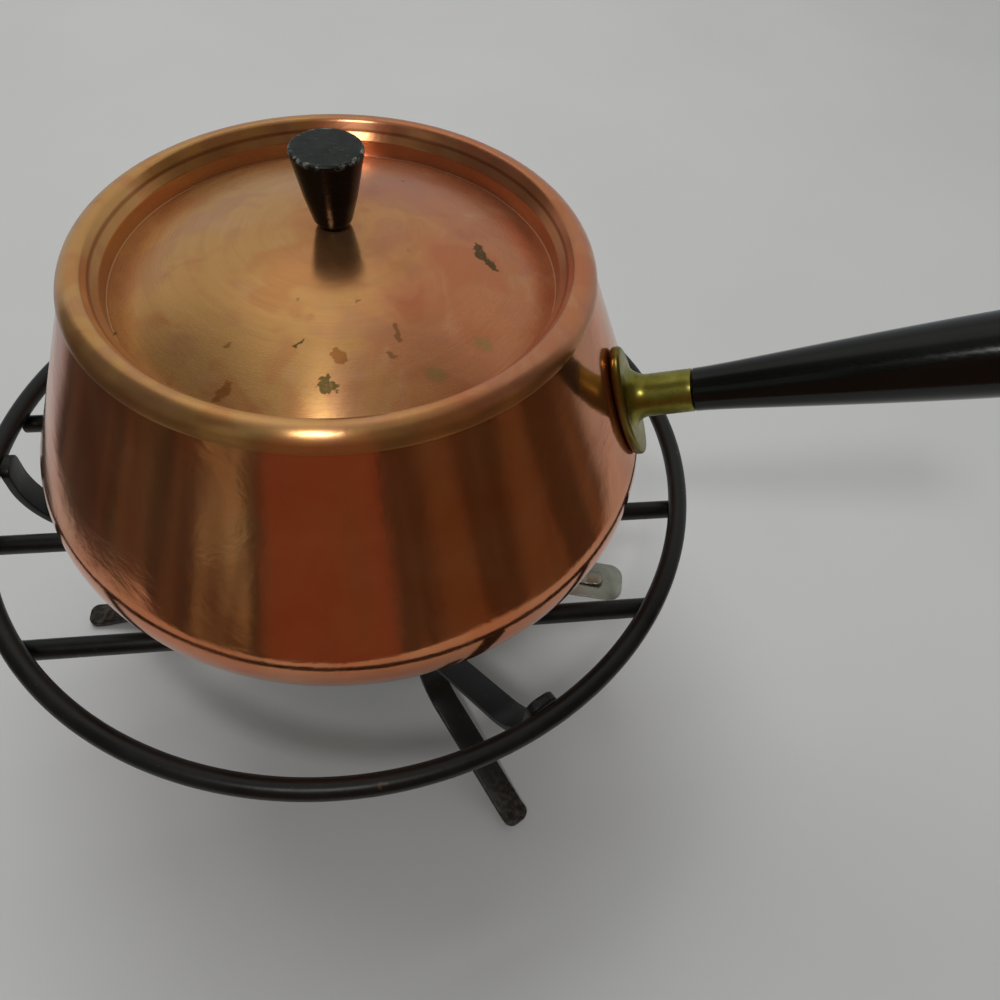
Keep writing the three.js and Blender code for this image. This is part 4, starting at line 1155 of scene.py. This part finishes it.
def mirrored_room(w, dx, dy, dz):
    """What metal mirrors: the dark front, a pale backdrop behind, the ceiling and its lit part."""
    front, bearing = front_room(w, dx, dy, dz)
    aside = w.math("ABSOLUTE", w.math("SUBTRACT", bearing, 4.0))
    backdrop = w.mix(w.spread(dz, 0.0, 0.6), (0.36, 0.39, 0.42), (0.43, 0.43, 0.41))
    room = w.mix(w.spread(aside, 106.0, 118.0, smooth=True), front, backdrop)
    room = w.mix(w.spread(dz, 0.80, 0.96, smooth=True), room, (0.25, 0.24, 0.22))
    lit = w.vector("DOT_PRODUCT", w.join(dx, dy, dz), (-0.25, 0.36, 0.90))
    return w.mix(w.spread(lit, 0.90, 0.99, smooth=True), room, (0.62, 0.61, 0.58))


def studio():
    """World with the room for metal, soft light for the rest and a pale background for the camera."""
    world = bpy.data.worlds.new("studio")
    bpy.context.scene.world = world
    world.use_nodes = True
    w = Nodes(world.node_tree)
    w.tree.nodes.clear()
    dx, dy, dz = w.split(w.node("TexCoord").outputs["Generated"])
    path = w.node("LightPath").outputs
    soft = w.mix(w.spread(dy, -0.5, 0.6, smooth=True), (0.11, 0.106, 0.102), (0.56, 0.56, 0.55))
    colour = w.mix(path["Is Glossy Ray"], soft, mirrored_room(w, dx, dy, dz))
    colour = w.mix(path["Is Camera Ray"], colour, srgb(182, 184, 183))
    background = w.fed(w.node("Background"), colour)
    w.fed(w.node("OutputWorld"), background.outputs[0])


def lamp(name, place, aim, size, power, seen_in_metal):
    """Area lamp, in metres and watts."""
    light = bpy.data.lights.new(name, "AREA")
    light.shape = "RECTANGLE"
    light.size, light.size_y = size
    light.energy = power
    obj = linked(name, light)
    obj.location = place
    obj.rotation_mode = "QUATERNION"
    obj.rotation_quaternion = (Vector(aim) - Vector(place)).to_track_quat("-Z", "Y")
    obj.visible_glossy = seen_in_metal


studio()
lamp("key", (-0.05, -0.70, 1.25), aim=(0, 0, 0.15), size=(0.18, 0.12), power=3.2, seen_in_metal=True)
lamp("fill", (-0.45, 0.80, 1.60), aim=(0, 0.1, 0.1), size=(1.2, 0.9), power=13.0, seen_in_metal=False)

# Camera, in metres and radians. It was fitted in a frame turned by FIT_TURN against this one

CAMERA_PLACE = (0.01313, -0.18972, 0.3438)
CAMERA_PITCH, CAMERA_ROLL = 0.90938, 0.11496
FIT_HEADING, FIT_TURN = 0.293302, math.radians(21.9)
CAMERA_HEADING = FIT_HEADING - FIT_TURN
FOCAL_PIXELS, PICTURE_PIXELS = 810.85, 1000.0
SENSOR_MM = 36.0


def photo_camera():
    level_right = Vector((math.cos(CAMERA_HEADING), -math.sin(CAMERA_HEADING), 0))
    level_ahead = Vector((math.sin(CAMERA_HEADING), math.cos(CAMERA_HEADING), 0))
    look = math.cos(CAMERA_PITCH) * level_ahead - Vector((0, 0, math.sin(CAMERA_PITCH)))
    level_up = level_right.cross(look)
    right = math.cos(CAMERA_ROLL) * level_right + math.sin(CAMERA_ROLL) * level_up
    up = -math.sin(CAMERA_ROLL) * level_right + math.cos(CAMERA_ROLL) * level_up
    turn = Matrix((right, up, -look)).transposed().to_4x4()
    camera = linked("camera", bpy.data.cameras.new("camera"))
    camera.data.sensor_width = SENSOR_MM
    camera.data.lens = SENSOR_MM * FOCAL_PIXELS / PICTURE_PIXELS
    camera.data.clip_start = 0.01
    camera.matrix_world = Matrix.Translation(CAMERA_PLACE) @ turn
    bpy.context.scene.camera = camera


photo_camera()
bpy.context.scene.view_settings.view_transform = "Standard"
